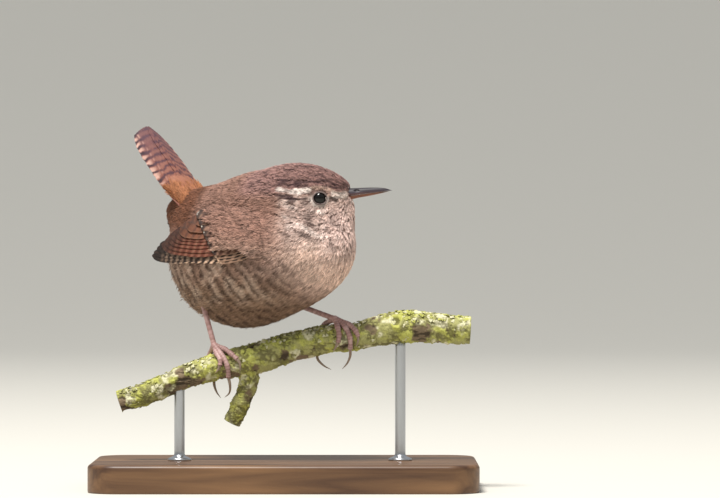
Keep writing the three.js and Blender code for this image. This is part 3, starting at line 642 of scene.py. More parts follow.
def near_line(x, z, stops):
    """Distance in the side view from a bent line through stops."""
    best = np.full(np.shape(x), 1e9)
    for (x0, z0), (x1, z1) in zip(stops[:-1], stops[1:]):
        run = (x1 - x0) ** 2 + (z1 - z0) ** 2
        t = np.clip(((x - x0) * (x1 - x0) + (z - z0) * (z1 - z0)) / run, 0, 1)
        best = np.minimum(best, np.hypot(x - x0 - t * (x1 - x0), z - z0 - t * (z1 - z0)))
    return best


BROW = [(-1.5, 85.1), (1.4, 84.5), (4.3, 84.4), (7.1, 85.0)]
BROW_FRONT = [(7.1, 85.1), (10.0, 85.6), (12.9, 84.9), (14.6, 83.9), (17.5, 83.5)]
EYE_STRIPE = [(8.0, 82.2), (4.3, 81.8), (0.9, 82.5), (-1.6, 82.9)]
CROWN_EDGE = [(-1.4, 87.3), (4.3, 86.6), (8.6, 87.2), (12.9, 86.8), (15.7, 85.8)]
LORE = [(12.9, 82.3), (14.4, 82.3)]
LORE_PALE = [(14.2, 83.7), (17.3, 83.5)]
PLUMAGE = palette(
    back="#967365", rump="#704936", crown="#9d7a73", breast="#efd0bf",
    throat="#dfc3b8", belly="#8c705b", flank="#a18271", brow="#f4e8e0",
    stripe="#54403a", dark="#432f33", bar="#3f2d26", pale_bar="#d9c3b1",
    cheek="#c4aca2", tail_base="#a9714f", lore="#cbb09f", middle="#95796c")


def plumage(points, fleck, grain):
    """Linear colour of the small feathers at points. fleck from 0 to 1 is each
    feather's own chance of a dark tip, grain from -1 to 1 its lightness."""
    off = points - BODY_CENTRE
    f, u = off @ body_ahead, off[:, 2]
    side = np.abs(off @ body_left)
    head = points - head_middle
    ahead, across = head @ head_ahead, np.abs(head @ head_left)
    x = head_middle[0] + 0.9945 * ahead - 0.1045 * across + 0.3 * noise(points, 1.3, 73)
    z = points[:, 2] + 0.45 * noise(points, 1.7, 71)
    run = np.linalg.norm(points - BILL_BASE, axis=-1)
    round_bill = np.arctan2(points[:, 2] - BILL_BASE[2], across)
    streak = noise(np.stack([16 * round_bill, run / 1.8, 0 * run], -1), 1.0, 99)

    low = ease(4.5, -5.0, u + 0.16 * (f + 6) - 0.10 * side)
    front = ease(11, 27, f + 0.2 * u) * ease(20, 6, u - 0.35 * (f - 10))
    crown = ease(-4, 3, f) * ease(12.5, 16.5, u)
    cheek = ease(-3.5, 2.5, x) * ease(84.2, 82.5, z) * ease(66, 73, z)
    throat = ease(9.5, 15.5, x + 0.25 * (78 - z)) * ease(83.6, 81.4, z) * ease(60, 70, z)
    wave = run + 0.8 * noise(points, 4.0, 81) + 0.4 * noise(points, 1.5, 83) + 0.28 * grain
    bar = ease(0.1, 0.8, np.sin(2 * np.pi * wave / 2.15))
    broken = ease(-0.55, 0.0, noise(points, 2.1, 91))
    barred = ease(26, 10, f) * ease(0.5, -6.0, u) + 0.25 * ease(3, -8, f) * ease(2, 6, u)
    flecked = cheek * ease(17, 11, x) * ease(-0.6, 0.5, noise(points, 2.4, 95))
    on_face = ease(0.5, 3.0, across)
    torn = 0.3 + 0.7 * (fleck > 0.3)
    lined = torn * ease(-0.6, 0.2, streak)
    dotted = torn * ease(-0.9, -0.1, noise(points, 1.1, 97))
    eye = np.min([np.linalg.norm(points - middle, axis=-1) for middle, _ in eye_seats.values()], 0)

    def drawn(name, weight, rim, core, line, worn=1):
        return name, weight * ease(rim, core, near_line(x, z, line)) * on_face * worn

    colour = layered(
        PLUMAGE, "back", ("flank", low), ("middle", low * ease(-2, 14, f)),
        ("belly", ease(-5, -15, u) * ease(27, 9, f)), ("breast", front * ease(-30, 12, f + u)),
        ("rump", ease(-13, -19, f) * ease(2.5, 6.5, u)), ("crown", crown),
        ("cheek", 0.85 * cheek), ("throat", 0.9 * throat),
        # Wavy bars, crosswise to the feathers, over flanks and belly; faint on the back
        ("pale_bar", 0.5 * (1 - bar) * ease(0.4, -5, u) * ease(22, 4, f)
         * ease(-0.5, 0.6, noise(points, 3.1, 93)) * ease(-19, -13, u)),
        ("bar", 0.85 * bar * broken * barred),
        # Fine dark tips: cheek and throat sides flecked, crown and back finely streaked
        ("stripe", 0.7 * ease(0.1, 0.5, streak) * flecked),
        ("brow", 0.5 * ease(-0.05, -0.45, streak) * flecked),
        ("stripe", 0.8 * (fleck < 0.35 * flecked)),
        ("stripe", 0.3 * ease(0.0, 0.5, streak) * throat),
        ("dark", 0.45 * ease(0.0, 0.5, streak) * crown * ease(4, 14, f)),
        ("dark", 0.75 * (fleck < 0.4 * crown)),
        ("stripe", 0.45 * (fleck < 0.16 + 0.06 * front) * (1 - throat)),
        # Face: dark crown edge, eye stripe and lore, cream brow and ring under the eye
        drawn("dark", 0.75, 1.7, 0.4, CROWN_EDGE, lined),
        drawn("dark", 0.85, 1.3, 0.4, EYE_STRIPE, lined), drawn("stripe", 0.85, 1.3, 0.5, LORE),
        drawn("lore", 0.6, 0.9, 0.3, BROW_FRONT, torn),
        drawn("brow", 0.7, 1.2, 0.4, LORE_PALE, torn), drawn("brow", 0.9, 1.05, 0.45, BROW, dotted),
        ("brow", 0.85 * ease(3.0, 2.6, eye) * ease(84.0, 82.4, z)))
    return colour * (1 + (0.36 - 0.1 * throat) * grain + 0.22 * (fleck > 0.9))[:, None]


def flat_place(points):
    """Place on the flat map: longitude and height of the way from the body centre."""
    way = unit(points - BODY_CENTRE)
    turn = np.arctan2(way @ body_left, way @ body_ahead) / (2 * np.pi) + 0.5
    return np.stack([0.02 + 0.96 * turn, 0.02 + 0.96 * (way[..., 2] + 1) / 2], -1)


def add_skin():
    """Rings of latitude round the body centre, each way pushed out to the skin."""
    rows, around = 120, 200
    tilt = np.linspace(-np.pi / 2, np.pi / 2, rows + 2)[1:-1]
    turn = np.linspace(-np.pi, np.pi, around + 1)[:-1]
    flat = np.cos(turn)[:, None] * body_ahead + np.sin(turn)[:, None] * body_left
    way = np.cos(tilt)[:, None, None] * flat + np.sin(tilt)[:, None, None] * UP
    face = np.linalg.norm(BODY_CENTRE + 24 * way - BILL_BASE, axis=-1)
    depth = SKIN_DEPTH * (0.5 + 0.5 * ease(4, 16, face))
    near = reach(BODY_CENTRE, way, 0.0)
    rings = BODY_CENTRE + (near - depth)[..., None] * way
    ends = [BODY_CENTRE + (reach(BODY_CENTRE, s * UP, 0.0) - SKIN_DEPTH) * s * UP for s in (-1, 1)]
    points, faces = ring_skin(rings, *ends)
    bake = flat_place(points)[faces]
    seam = bake[:, :, 0].max(1) - bake[:, :, 0].min(1) > 0.5
    wrapped = bake[..., 0] + 0.96 * (seam[:, None] & (bake[..., 0] < 0.5))
    bake = np.stack([wrapped, bake[..., 1]], -1)
    # Down: soft and matt, seen only as shade between the feathers
    skin = tinted("down under the feathers", "#7a5c4a", 0.9)[0]
    half = np.full(len(points), 0.5)
    tint = plumage(points, half, 0 * half) * DEEP_SHADE
    part("skin", (points, faces), skin, "plumage", ["torso", "neck", "head"], tint=tint, bake=bake)


add_skin()


# The wings: short and round. Each row of stiff feathers overlaps like roof tiles,
# dark quills with buff spots below, rusty barred quills above, and small spotted
# coverts over their roots.
WING_TILT = 0.38
VANE_THICK = 0.5
WING_GUIDE = flesh_form((-18, 0, -1), (26, 11, 24), BODY_YAW, 0)
# Row, count, stops of the roots and of the tips as seen (X, up), half width, lift, bow
WING_ROWS = [
    ("primaries", 8, [(-4, -3.0), (-6, -1.4), (-8, 0.5)],
     [(-26.5, -2.5), (-31.8, -3.0), (-29.3, 0.6)], 1.7, 0.7, -0.5),
    ("secondaries", 6, [(-9, -1.3), (-9.5, 1.8), (-10, 4.5)],
     [(-28.6, 0.5), (-26.2, 3.0), (-23.2, 5.0)], 2.3, 1.15, -0.3),
    ("tertials", 3, [(-11, 4.5), (-11, 6.5), (-11, 8.5)],
     [(-22.8, 5.4), (-20.6, 6.9), (-17.9, 8.6)], 2.6, 1.5, -0.3),
    ("primary_coverts", 4, [(-3.5, -2.6), (-4, -1.6), (-4.5, -0.6)],
     [(-11.2, -4.0), (-12.2, -3.0), (-13, -1.6)], 1.4, 1.5, 0),
    ("greater_coverts", 8, [(-5, -0.4), (-8.5, 4), (-11, 9.2)],
     [(-13.1, -1.1), (-15.2, 3.5), (-17.5, 9.4)], 1.7, 1.9, 0),
]
ARM_LOWER = [(-1, -1.6), (-6, -3.8), (-14, -3.6), (-22, -2.4)]
ARM_UPPER = [(-1, 1.5), (-6, 8.6), (-13, 9.6), (-20, 4.6)]
wing_forms = flesh_forms[:3] + [WING_GUIDE]


def wing_sheet(f, u, high):
    """Sideways reach of the wing's sheet at places ahead and above of the centre."""
    start = bird_point(f, np.zeros_like(f), u)
    return reach(start, body_left, 0.0, wing_forms, 40.0) + high


def seen_line(stops, count):
    """Points of the line through stops (X, up) in the side view."""
    return line_through([(x, 0, u) for x, u in stops], count)


def ahead_of_seen(x, u):
    """Solves f cos(yaw) + sheet sin(yaw) = x for places as seen from the side."""
    x, u = np.asarray(x, float), np.asarray(u, float)
    low, high = np.full(x.shape, -50.0), np.full(x.shape, 30.0)
    for _ in range(20):
        f = (low + high) / 2
        seen = f * math.cos(BODY_YAW) + wing_sheet(f, u, 0.8) * math.sin(BODY_YAW)
        low = np.where(seen < x, f, low)
        high = np.where(seen < x, high, f)
    return (low + high) / 2


def vane(place, half, length, thick, rows=52, seed=0, fray=0.035):
    """A feather's blade as a closed skin: outline half * rise(t) * fall(t), a round
    section that thins to the edges, and a raised shaft. place(t, across, high) maps it.
    Gives points, faces, and each point's t and share across from -1 to 1."""
    t = np.linspace(0.004, 0.996, rows) ** 0.94
    rise = 0.6 + 0.4 * ease(0, 0.45, t)
    fall = np.sqrt(1 - np.clip((t - 0.74) / 0.26, 0, 1) ** 2)
    share = np.sin(np.linspace(-np.pi / 2, np.pi / 2, 11))
    ragged = 1 + fray * noise(np.stack([t * length, 0 * t, 0 * t + seed], -1), 0.7, 7)
    wide = half * rise * fall * ragged
    ring_share = np.concatenate([share, share[-2:0:-1]])
    over = np.concatenate([np.ones(11), -np.ones(9)])
    body = 0.5 * thick * np.sqrt(1 - 0.97 * ring_share ** 2) * over
    shaft = 0.13 * np.exp(-(ring_share * half / 0.2) ** 2) * (over > 0)
    across = wide[:, None] * ring_share
    high = (body + shaft)[None] * (1 - 0.5 * ease(0.8, 1, t))[:, None]
    rings = place(np.broadcast_to(t[:, None], across.shape), across, high)
    tip = place(np.array([1.0]), np.array([0.0]), np.array([0.0]))
    root = place(np.array([0.0]), np.array([0.0]), np.array([0.0]))
    points, faces = ring_skin(rings, root, tip)
    ts = np.concatenate([[0], np.repeat(t, 20), [1]])
    shares = np.concatenate([[0], np.tile(ring_share, rows), [0]])
    return points, faces, ts, shares


def wing_feather(side, root, tip, half, lift, bow, seed):
    """One wing feather, root and tip ahead and above; its upper edge tucks down."""
    run = math.hypot(tip[0] - root[0], tip[1] - root[1])
    way = ((tip[0] - root[0]) / run, (tip[1] - root[1]) / run)

    def place(t, across, high):
        f = root[0] + way[0] * run * t + way[1] * across
        u = root[1] + way[1] * run * t - way[0] * (across + bow * np.sin(np.pi * t))
        settle = lift * (0.35 + 0.65 * t) - WING_TILT * across + high
        return bird_point(f, side * wing_sheet(f, u, settle), u)

    return vane(place, half, run, VANE_THICK, seed=seed), run


WING_COLOURS = palette(
    quill="#3a2a23", buff="#e0bb9f", dark="#241813", rust="#6d3827",
    rust_bar="#452a20", tertial="#72452f", edge="#9c7b65", covert="#6a4a3b",
    shaft="#3d2a22", white="#e6dccf")


def wing_tint(row, i, t, share, run, wobble):
    """Colour over one wing feather from millimetres along it and share across, where
    -1 is the outer, lower edge. Spots and bars alternate every 2.6 mm."""
    mm = t * run + wobble - 0.9 * np.abs(share)
    outer = ease(-0.05, -0.3, share)
    beat = np.sin(2 * np.pi * (mm / 2.6 + 0.37 * i))
    layers = {
        "primaries": ("quill", ("dark", 0.6 * ease(-0.2, 0.6, beat)), ("dark", ease(0.8, 0.95, t)),
                      ("buff", outer * ease(0.1, 0.5, beat) * ease(0.92, 0.8, t)
                       * (1.0 if i < 3 else 0.3)),
                      ("dark", 0.75 * outer * ease(0.0, -0.4, beat))),
        "secondaries": ("rust", ("rust_bar", 0.6 * ease(0.25, 0.75, beat)),
                        ("edge", 0.3 * outer * ease(-0.2, -0.7, beat)),
                        ("dark", 0.75 * ease(0.62, 0.95, t))),
        "tertials": ("tertial", ("rust_bar", 0.6 * ease(0.2, 0.7, beat)),
                     ("dark", 0.4 * ease(0.6, 0.95, t)),
                     ("edge", ease(-0.86, -0.97, share) * 0.22)),
        "primary_coverts": ("dark", ("edge", ease(0.1, 0.6, -beat) * 0.6),
                            ("edge", ease(0.62, 0.9, np.abs(share)) * 0.85),
                            ("buff", ease(0.86, 0.94, t) * 0.8)),
        "greater_coverts": ("covert", ("rust_bar", 0.75 * ease(0.1, 0.6, beat)),
                            ("edge", 0.35 * outer * ease(-0.1, -0.6, beat)),
                            ("dark", ease(0.74, 0.84, t) * 0.85),
                            ("white", (0.95, 0.2, 0.5, 0.1, 0.75)[i % 5] * ease(0.9, 0.96, t)
                             * ease(0.7, 0.3, np.abs(share))))}
    return layered(WING_COLOURS, *layers[row], ("shaft", 0.7 * ease(0.1, 0.02, np.abs(share))))


def feather_finish(name, colour):
    """Blade of a stiff feather: its tint, with fine slanted barbs as relief. The eye
    gets a faint sheen that the barbs break into hair-fine stripes."""
    made, tree, surface, tint = tinted(name, colour, 0.6, Specular_IOR_Level=0.3)
    along = node(tree, "Attribute", attribute_name="along")
    wave = node(tree, "Math", {1: 2 * math.pi / 0.28}, {0: along.outputs["Fac"]},
                operation="MULTIPLY")
    barb = node(tree, "Math", links={0: wave.outputs["Value"]}, operation="SINE")
    # The barb wave scales the tint from 0.86 to 1.1: painted shade in the grooves between barbs,
    # painted light on their ridges
    shade = node(tree, "MapRange", {"From Min": -1, "From Max": 1, "To Min": 0.86, "To Max": 1.1},
                 {"Value": barb.outputs["Value"]})
    scaled = node(tree, "VectorMath", links={0: tint.outputs["Color"], 1: shade.outputs["Result"]},
                  operation="MULTIPLY")
    tree.links.new(scaled.outputs["Vector"], surface.inputs["Base Color"])
    bump(tree, surface, barb.outputs["Value"], 0.3, 0.00008)
    return made


def add_feathers(name, blades, material, slot, replaced):
    """Joins blades, (points, faces, tint, along), into one piece."""
    shape = several([(points, faces) for points, faces, _, _ in blades])
    made = part(name, shape, material, slot, replaced,
                tint=np.concatenate([tint for _, _, tint, _ in blades]))
    along = np.concatenate([a for _, _, _, a in blades]).astype(np.float32)
    made.data.attributes.new("along", "FLOAT", "POINT").data.foreach_set("value", along)
    return made


def wing_pad(side):
    """The feathered arm under the coverts, a thin pad between its two edge lines."""
    rows, across = 40, 20
    lower = seen_line(ARM_LOWER, rows)
    upper = seen_line(ARM_UPPER, rows)
    share = np.concatenate([np.linspace(0, 1, across), np.linspace(1, 0, across)])
    lift = np.concatenate([0.2 + 0.7 * np.sin(np.linspace(0, np.pi, across)),
                           np.full(across, -0.5)])
    at = lower[:, None] + (upper - lower)[:, None] * share[:, None]
    f = ahead_of_seen(at[..., 0], at[..., 2])
    reach_out = side * wing_sheet(f, at[..., 2], np.broadcast_to(lift, f.shape))
    rings = bird_point(f, reach_out, at[..., 2])
    return ring_skin(rings, rings[0].mean(0), rings[-1].mean(0))


def add_wings():
    """Each feather's root and tip lie evenly along its row's two lines, as seen."""
    material = feather_finish("barred flight feather", "#8a5236")
    rng = np.random.default_rng(23)
    for name, side in (("right", -1), ("left", 1)):
        points, faces = wing_pad(side)
        half = np.full(len(points), 0.5)
        blades = [(points, faces, plumage(points, half, 0 * half) * DEEP_SHADE, 0 * half)]
        for row, count, roots, tips, half, lift, bow in WING_ROWS:
            seen_roots, seen_tips = seen_line(roots, count), seen_line(tips, count)
            root_f = ahead_of_seen(seen_roots[:, 0], seen_roots[:, 2])
            tip_f = ahead_of_seen(seen_tips[:, 0], seen_tips[:, 2])
            for i in range(count):
                (points, faces, t, share), run = wing_feather(
                    side, (root_f[i], seen_roots[i, 2]), (tip_f[i], seen_tips[i, 2]),
                    half, lift + 0.05 * i, bow, seed=i)
                wobble = 0.35 * noise(points, 1.6, 61)
                tint = wing_tint(row, i, t, share, run, wobble)
                tint = tint * (1 + 0.1 * noise(points, 0.8, 67))[:, None] * rng.uniform(0.9, 1.1)
                along = t * run - 0.9 * np.abs(share) * half
                blades.append((points, faces, tint, along))
        add_feathers("wing_" + name, blades, material, "wing_feathers", ["wing_" + name])


add_wings()


# The tail: twelve short, cocked feathers in pairs, the middle pair uppermost,
# rusty with dark wavy bars, and soft coverts round their roots.
TAIL_ROOT_F, TAIL_ROOT_U = -20.9, 10.3
TAIL_RISE = math.radians(48.4)
TAIL_LENGTH = 33
TAIL_TILT = 0.26
TAIL_ASIDE = 0.9
TAIL_COLOURS = palette(
    rust="#8a574a", warm="#9d6c5b", bar="#3f2e3c", pale="#c49b8c",
    dark="#33242a", base="#9a6247", tip="#5d4450")


def tail_point(along, across, high):
    """A place along the cocked tail from its root, left of its middle and above it."""
    return bird_point(TAIL_ROOT_F - math.cos(TAIL_RISE) * along + math.sin(TAIL_RISE) * high,
                      across,
                      TAIL_ROOT_U + math.sin(TAIL_RISE) * along + math.cos(TAIL_RISE) * high)


def add_tail():
    """Feathers spread as 0.55 + pair (1 + 1.1 t - 1.12 t^2) from the middle."""
    blades = []
    turn = turns(28)
    t = np.linspace(0, 1, 12)[:, None]
    core = tail_point(-1 + 12 * t, 0.6 + (5.6 - 1.8 * t) * np.cos(turn),
                      -0.9 + (3.0 - 2.3 * t) * np.sin(turn))
    points, faces = ring_skin(core, core[0].mean(0), core[-1].mean(0))
    plain = np.zeros(len(points))
    blades.append((points, faces, TAIL_COLOURS["base"] + plain[:, None], plain))
    for i in range(12):
        side, pair = (1 if i % 2 else -1), i // 2
        long = TAIL_LENGTH - 0.16 * pair ** 1.5

        def place(t, across, high):
            wide = 0.55 + pair * (1.0 + 1.1 * t - 1.12 * t * t)
            slope = TAIL_TILT * np.where((side * across < 0) & (pair == 0), 0.15, 1)
            down = -0.3 * pair - side * across * slope + (0.12 if side > 0 else 0)
            return tail_point(long * t, 0.6 + TAIL_ASIDE * t + side * wide + across, down + high)

        points, faces, t, share = vane(place, 2.6 - 0.06 * pair, long, VANE_THICK, 84, i, 0.09)
        wobble = 0.8 * noise(points, 2.0, 62) + 0.3 * noise(points, 0.7, 64)
        mm = t * long + wobble + 0.5 * np.abs(share)
        beat = np.sin(2 * np.pi * (mm / 2.45 + 0.06 * i))
        outer = ease(0.1, 0.5, side * share)
        shown = ease(0.25, 0.45, t)
        worn = ease(-0.75, 0.0, noise(points, 1.5, 63))
        rims = [("pale", outer * shown * ease(0.1, -0.4, beat)),
                ("dark", 0.8 * outer * shown * ease(0.2, 0.6, beat))] if pair >= 4 else []
        tint = layered(TAIL_COLOURS, "rust", ("warm", 0.6 * ease(0.3, -0.6, beat)),
                       ("bar", 0.8 * shown * worn * ease(0.15, 0.75, beat)),
                       ("tip", 0.6 * ease(0.35, 1.0, t)), *rims,
                       ("dark", 0.35 * ease(0.95, 1.0, t)))
        tint = tint * (1 + 0.1 * noise(points, 0.8, 68))[:, None]
        blades.append((points, faces, tint, t * long - 2.3 * np.abs(share)))
    for over in (1, -1):
        for tier in (0, 1):
            for k in range(7 - tier):
                turn = math.radians(-66 + 132 * k / (6 - tier))
                long = (13.5 if over > 0 else 14) - 3.5 * tier
                swell = 3.0 + 0.8 * tier

                def place(t, across, high):
                    out = swell * (1 - (0.62 if over > 0 else 0.8) * t) + high
                    wide = 0.6 + 6.2 * math.sin(turn) * (1 - 0.25 * t) + across * math.cos(turn)
                    lift = over * (out * math.cos(turn * 0.8) - 0.25 * across * math.sin(turn))
                    return tail_point(long * t, wide, lift - 0.9)

                points, faces, t, share = vane(place, 2.2, long, VANE_THICK, rows=30, seed=k)
                tint = layered(TAIL_COLOURS, "base", ("warm", 0.5 * ease(0.5, 1, t)))
                tint = tint * (1 + 0.14 * noise(points, 0.9, 69))[:, None]
                blades.append((points, faces, tint, t * long - 2 * np.abs(share)))
    material = feather_finish("barred tail feather", "#a8683c")
    add_feathers("tail", blades, material, "tail_feathers", ["tail"])


add_tail()


# The coat: small body feathers that overlap like tiles from the bill to the tail,
# about 1.5 mm long on the face and 5 mm on the belly. Each is a loose oval of
# fine barbs, rooted in the skin with its tip lying on the feathers behind.
COAT_CANDIDATES = 90000
SHOULDER_CANDIDATES, TAIL_FEATHERS = 1000, 620
COAT_BARBS = 16
COAT_DENSITY = 7.7
COAT_PIECES = ("face", "cheeks", "head", "neck", "shoulders", "breast", "middle", "flanks", "rear")
SINK_HIGH = bird_point(-34, 0, 6)
SINK_LOW = bird_point(-44, 0, -24)


def feather_way(points, normals):
    """Tangent way of the feathers: away from the bill and on to the tail above or the
    vent below, each pull falling with the square of distance, and parted round the eyes."""
    from_bill = points - BILL_BASE
    upper = ease(-4, 8, points[:, 2] - BODY_CENTRE[2])[:, None]
    to_sink = SINK_LOW + (SINK_HIGH - SINK_LOW) * upper - points
    pull = (from_bill / np.linalg.norm(from_bill, axis=1, keepdims=True) ** 3
            + to_sink / np.linalg.norm(to_sink, axis=1, keepdims=True) ** 3)
    pull = along_surface(pull, normals)
    for middle, _ in eye_seats.values():
        away = points - middle
        near = np.linalg.norm(away, axis=1)
        pull = unit(pull + 1.6 * ease(4.2, 2.5, near)[:, None] * along_surface(away, normals))
    return pull


def coat_roots(rng):
    """Evenly strewn ways from the body centre, kept so that the feathers per area
    come to the density / length. Gives roots on the flesh, their normals and lengths."""
    k = np.arange(COAT_CANDIDATES) + 0.5
    z = 1 - 2 * k / COAT_CANDIDATES
    turn = math.pi * (1 + 5 ** 0.5) * k
    way = np.stack([np.sqrt(1 - z * z) * np.cos(turn), np.sqrt(1 - z * z) * np.sin(turn), z], -1)
    way = unit(way + rng.normal(0, 0.012, way.shape))
    far = reach(BODY_CENTRE, way, 0.0)
    roots = BODY_CENTRE + far[:, None] * way
    normals = normals_at(roots)
    run = np.linalg.norm(roots - BILL_BASE, axis=1)
    length = np.clip(1.3 + 0.12 * run, 1.4, 4.6) + 0.8 * ease(62, 54, roots[:, 2])
    area = 4 * math.pi * far ** 2 / COAT_CANDIDATES / np.einsum("ij,ij->i", way, normals)
    keep = rng.uniform(0, 1, len(roots)) < area * COAT_DENSITY / length
    for middle, _ in eye_seats.values():
        keep &= np.linalg.norm(roots - middle, axis=1) > 2.25
    bill = roots - BILL_BASE
    keep &= np.hypot(bill @ head_left, bill[:, 2]) + 99 * (bill @ head_ahead < -4) > 1.55
    return roots[keep], normals[keep], length[keep]


def barbs(rng, roots, normals, ways, length, lift=0.0, loose=0.0, forms=flesh_forms):
    """Every feather's barbs as closed slivers of five points. In the feather's plane a
    barb runs from (s0, a0) by the shaft to (s1, a1) on the oval; each point is then
    settled at its height over the forms, from 0.25 to 0.77 deep at the root to 0.12 out
    at the tip; lift raises a whole feather and loose makes its tips stray outward.
    Also gives each barb's share of the way out to the feather's edge."""
    count, many = len(roots), COAT_BARBS
    lift, loose = (np.broadcast_to(v, count)[:, None, None] for v in (lift, loose))
    beside = np.cross(normals, ways)
    j = (np.arange(many) + rng.uniform(0, 1, (count, many))) / many
    side = np.where(np.arange(many) % 2, 1.0, -1.0)
    start = 0.05 + 0.58 * j
    end = np.minimum(start + 0.36 + 0.1 * rng.uniform(-1, 1, (count, many)), 1.04)
    oval = np.sin(np.pi * np.clip(0.12 + 0.86 * end, 0, 1)) ** 0.6
    wide = (0.22 + 0.08 * ease(1.8, 4.5, length))[:, None] * oval
    share = rng.uniform(0.05, 1.05, (count, many))
    spread = side * wide * share
    first = 0.06 * side * (1 - j)
    middle = (start + end) / 2 + 0.02
    bowed = first + (spread - first) * 0.62
    thin = 0.047 + 0.0125 * length
    wide_way = np.stack([-(spread - first), end - start], -1)
    wide_way /= np.linalg.norm(wide_way, axis=-1, keepdims=True)
    thick = (thin[:, None] * rng.uniform(0.7, 1.2, (count, many)))[..., None]
    along = length[:, None, None]
    local = np.stack([
        np.stack([start, first], -1) * along,
        np.stack([middle, bowed], -1) * along - thick * wide_way,
        np.stack([middle, bowed], -1) * along + thick * wide_way,
        np.stack([middle, bowed], -1) * along,
        np.stack([end, spread], -1) * along], 2)
    rise = np.stack([start, middle, middle, middle, end], 2)
    depth = (0.3 + 0.6 * ease(1.9, 4.0, length))[:, None, None]
    stray = (rng.normal(0, 0.05, (count, many, 1)) + rng.normal(0, 0.03, (count, 1, 1))
             + loose * np.abs(rng.normal(0, 1, (count, many, 1))))
    height = lift - 0.85 * depth + (0.85 * depth + 0.12) * rise ** 0.9 + stray * rise ** 2
    height[:, :, 3] += 0.05
    points = (roots[:, None, None] + local[..., :1] * ways[:, None, None]
              + local[..., 1:] * beside[:, None, None])
    if forms is None:
        return points + normals[:, None, None] * height[..., None], share
    for _ in range(2):
        off = height - flesh_distance(points, forms)
        points = points + normals[:, None, None] * off[..., None]
    return points, share


def body_feathers(rng):
    """Points of the barbs of all feathers that grow on the body and head."""
    roots, normals, length = coat_roots(rng)
    off = roots - BODY_CENTRE
    f, u = off @ body_ahead, off[:, 2]
    rear = ease(-8, -20, f) * ease(6, -4, u) + 0.6 * ease(-11, -15, u) * ease(22, 4, f)
    length = length + 1.2 * rear
    ways = feather_way(roots, normals)
    ways = unit(ways + rng.normal(0, 0.12, len(roots))[:, None] * np.cross(normals, ways))
    return (roots, *barbs(rng, roots, normals, ways, length, loose=0.04 + 0.42 * rear))


def shoulder_feathers(rng, side):
    """Scapulars and small coverts over the wing's arm: evenly strewn places as seen
    from the side, lifted 2.7 over the wing's sheet and down to the body at its edges."""
    x, u = rng.uniform((-13.5, -4.5), (5.0, 12.5), (SHOULDER_CANDIDATES, 2)).T
    keep = u > -0.4 - 3.6 * ease(-3.0, 0.5, x)
    keep &= x > -10.6 + 0.9 * np.sin(2.3 * u) - 2.6 * ease(4, 8, u)
    x, u = x[keep], u[keep]
    lift = 2.6 * ease(4.0, -2.5, x) * ease(12.5, 8.5, u) * ease(-4.5, -1.5, u) + 0.1
    f = ahead_of_seen(x, u)
    roots = bird_point(f, side * wing_sheet(f, u, lift), u)
    normals = normals_at(roots, wing_forms)
    ways = -body_ahead - 0.18 * UP + rng.normal(0, 0.1, (len(x), 1)) * UP
    ways = along_surface(ways, normals)
    length = rng.uniform(3.0, 3.8, len(x))
    return (roots, *barbs(rng, roots, normals, ways, length, lift, 0.06, wing_forms))


def tail_cover(rng):
    """Soft coverts round the root of the tail, on an oval that flattens along it."""
    along = rng.uniform(-4, 7.5, TAIL_FEATHERS)
    turn = rng.uniform(0, 2 * np.pi, TAIL_FEATHERS)
    half_wide, half_high = 6.4 + 0.25 * along, 3.3 - 0.2 * along
    middle = -0.9 - 0.08 * along
    roots = tail_point(along, 0.6 + half_wide * np.cos(turn), middle + half_high * np.sin(turn))
    over = tail_point(0, 0, 1) - tail_point(0, 0, 0)
    normals = unit(np.outer(np.cos(turn) / half_wide, body_left)
                   + np.outer(np.sin(turn) / half_high, over))
    tail_way = tail_point(1, 0, 0) - tail_point(0, 0, 0)
    ways = unit(tail_way + np.outer(0.12 * np.cos(turn), body_left)
                + rng.normal(0, 0.07, (TAIL_FEATHERS, 1)) * body_left)
    ways = along_surface(ways, normals)
    length = rng.uniform(4.2, 5.8, TAIL_FEATHERS)
    return (roots, *barbs(rng, roots, normals, ways, length, 0.35, 0.08, None))


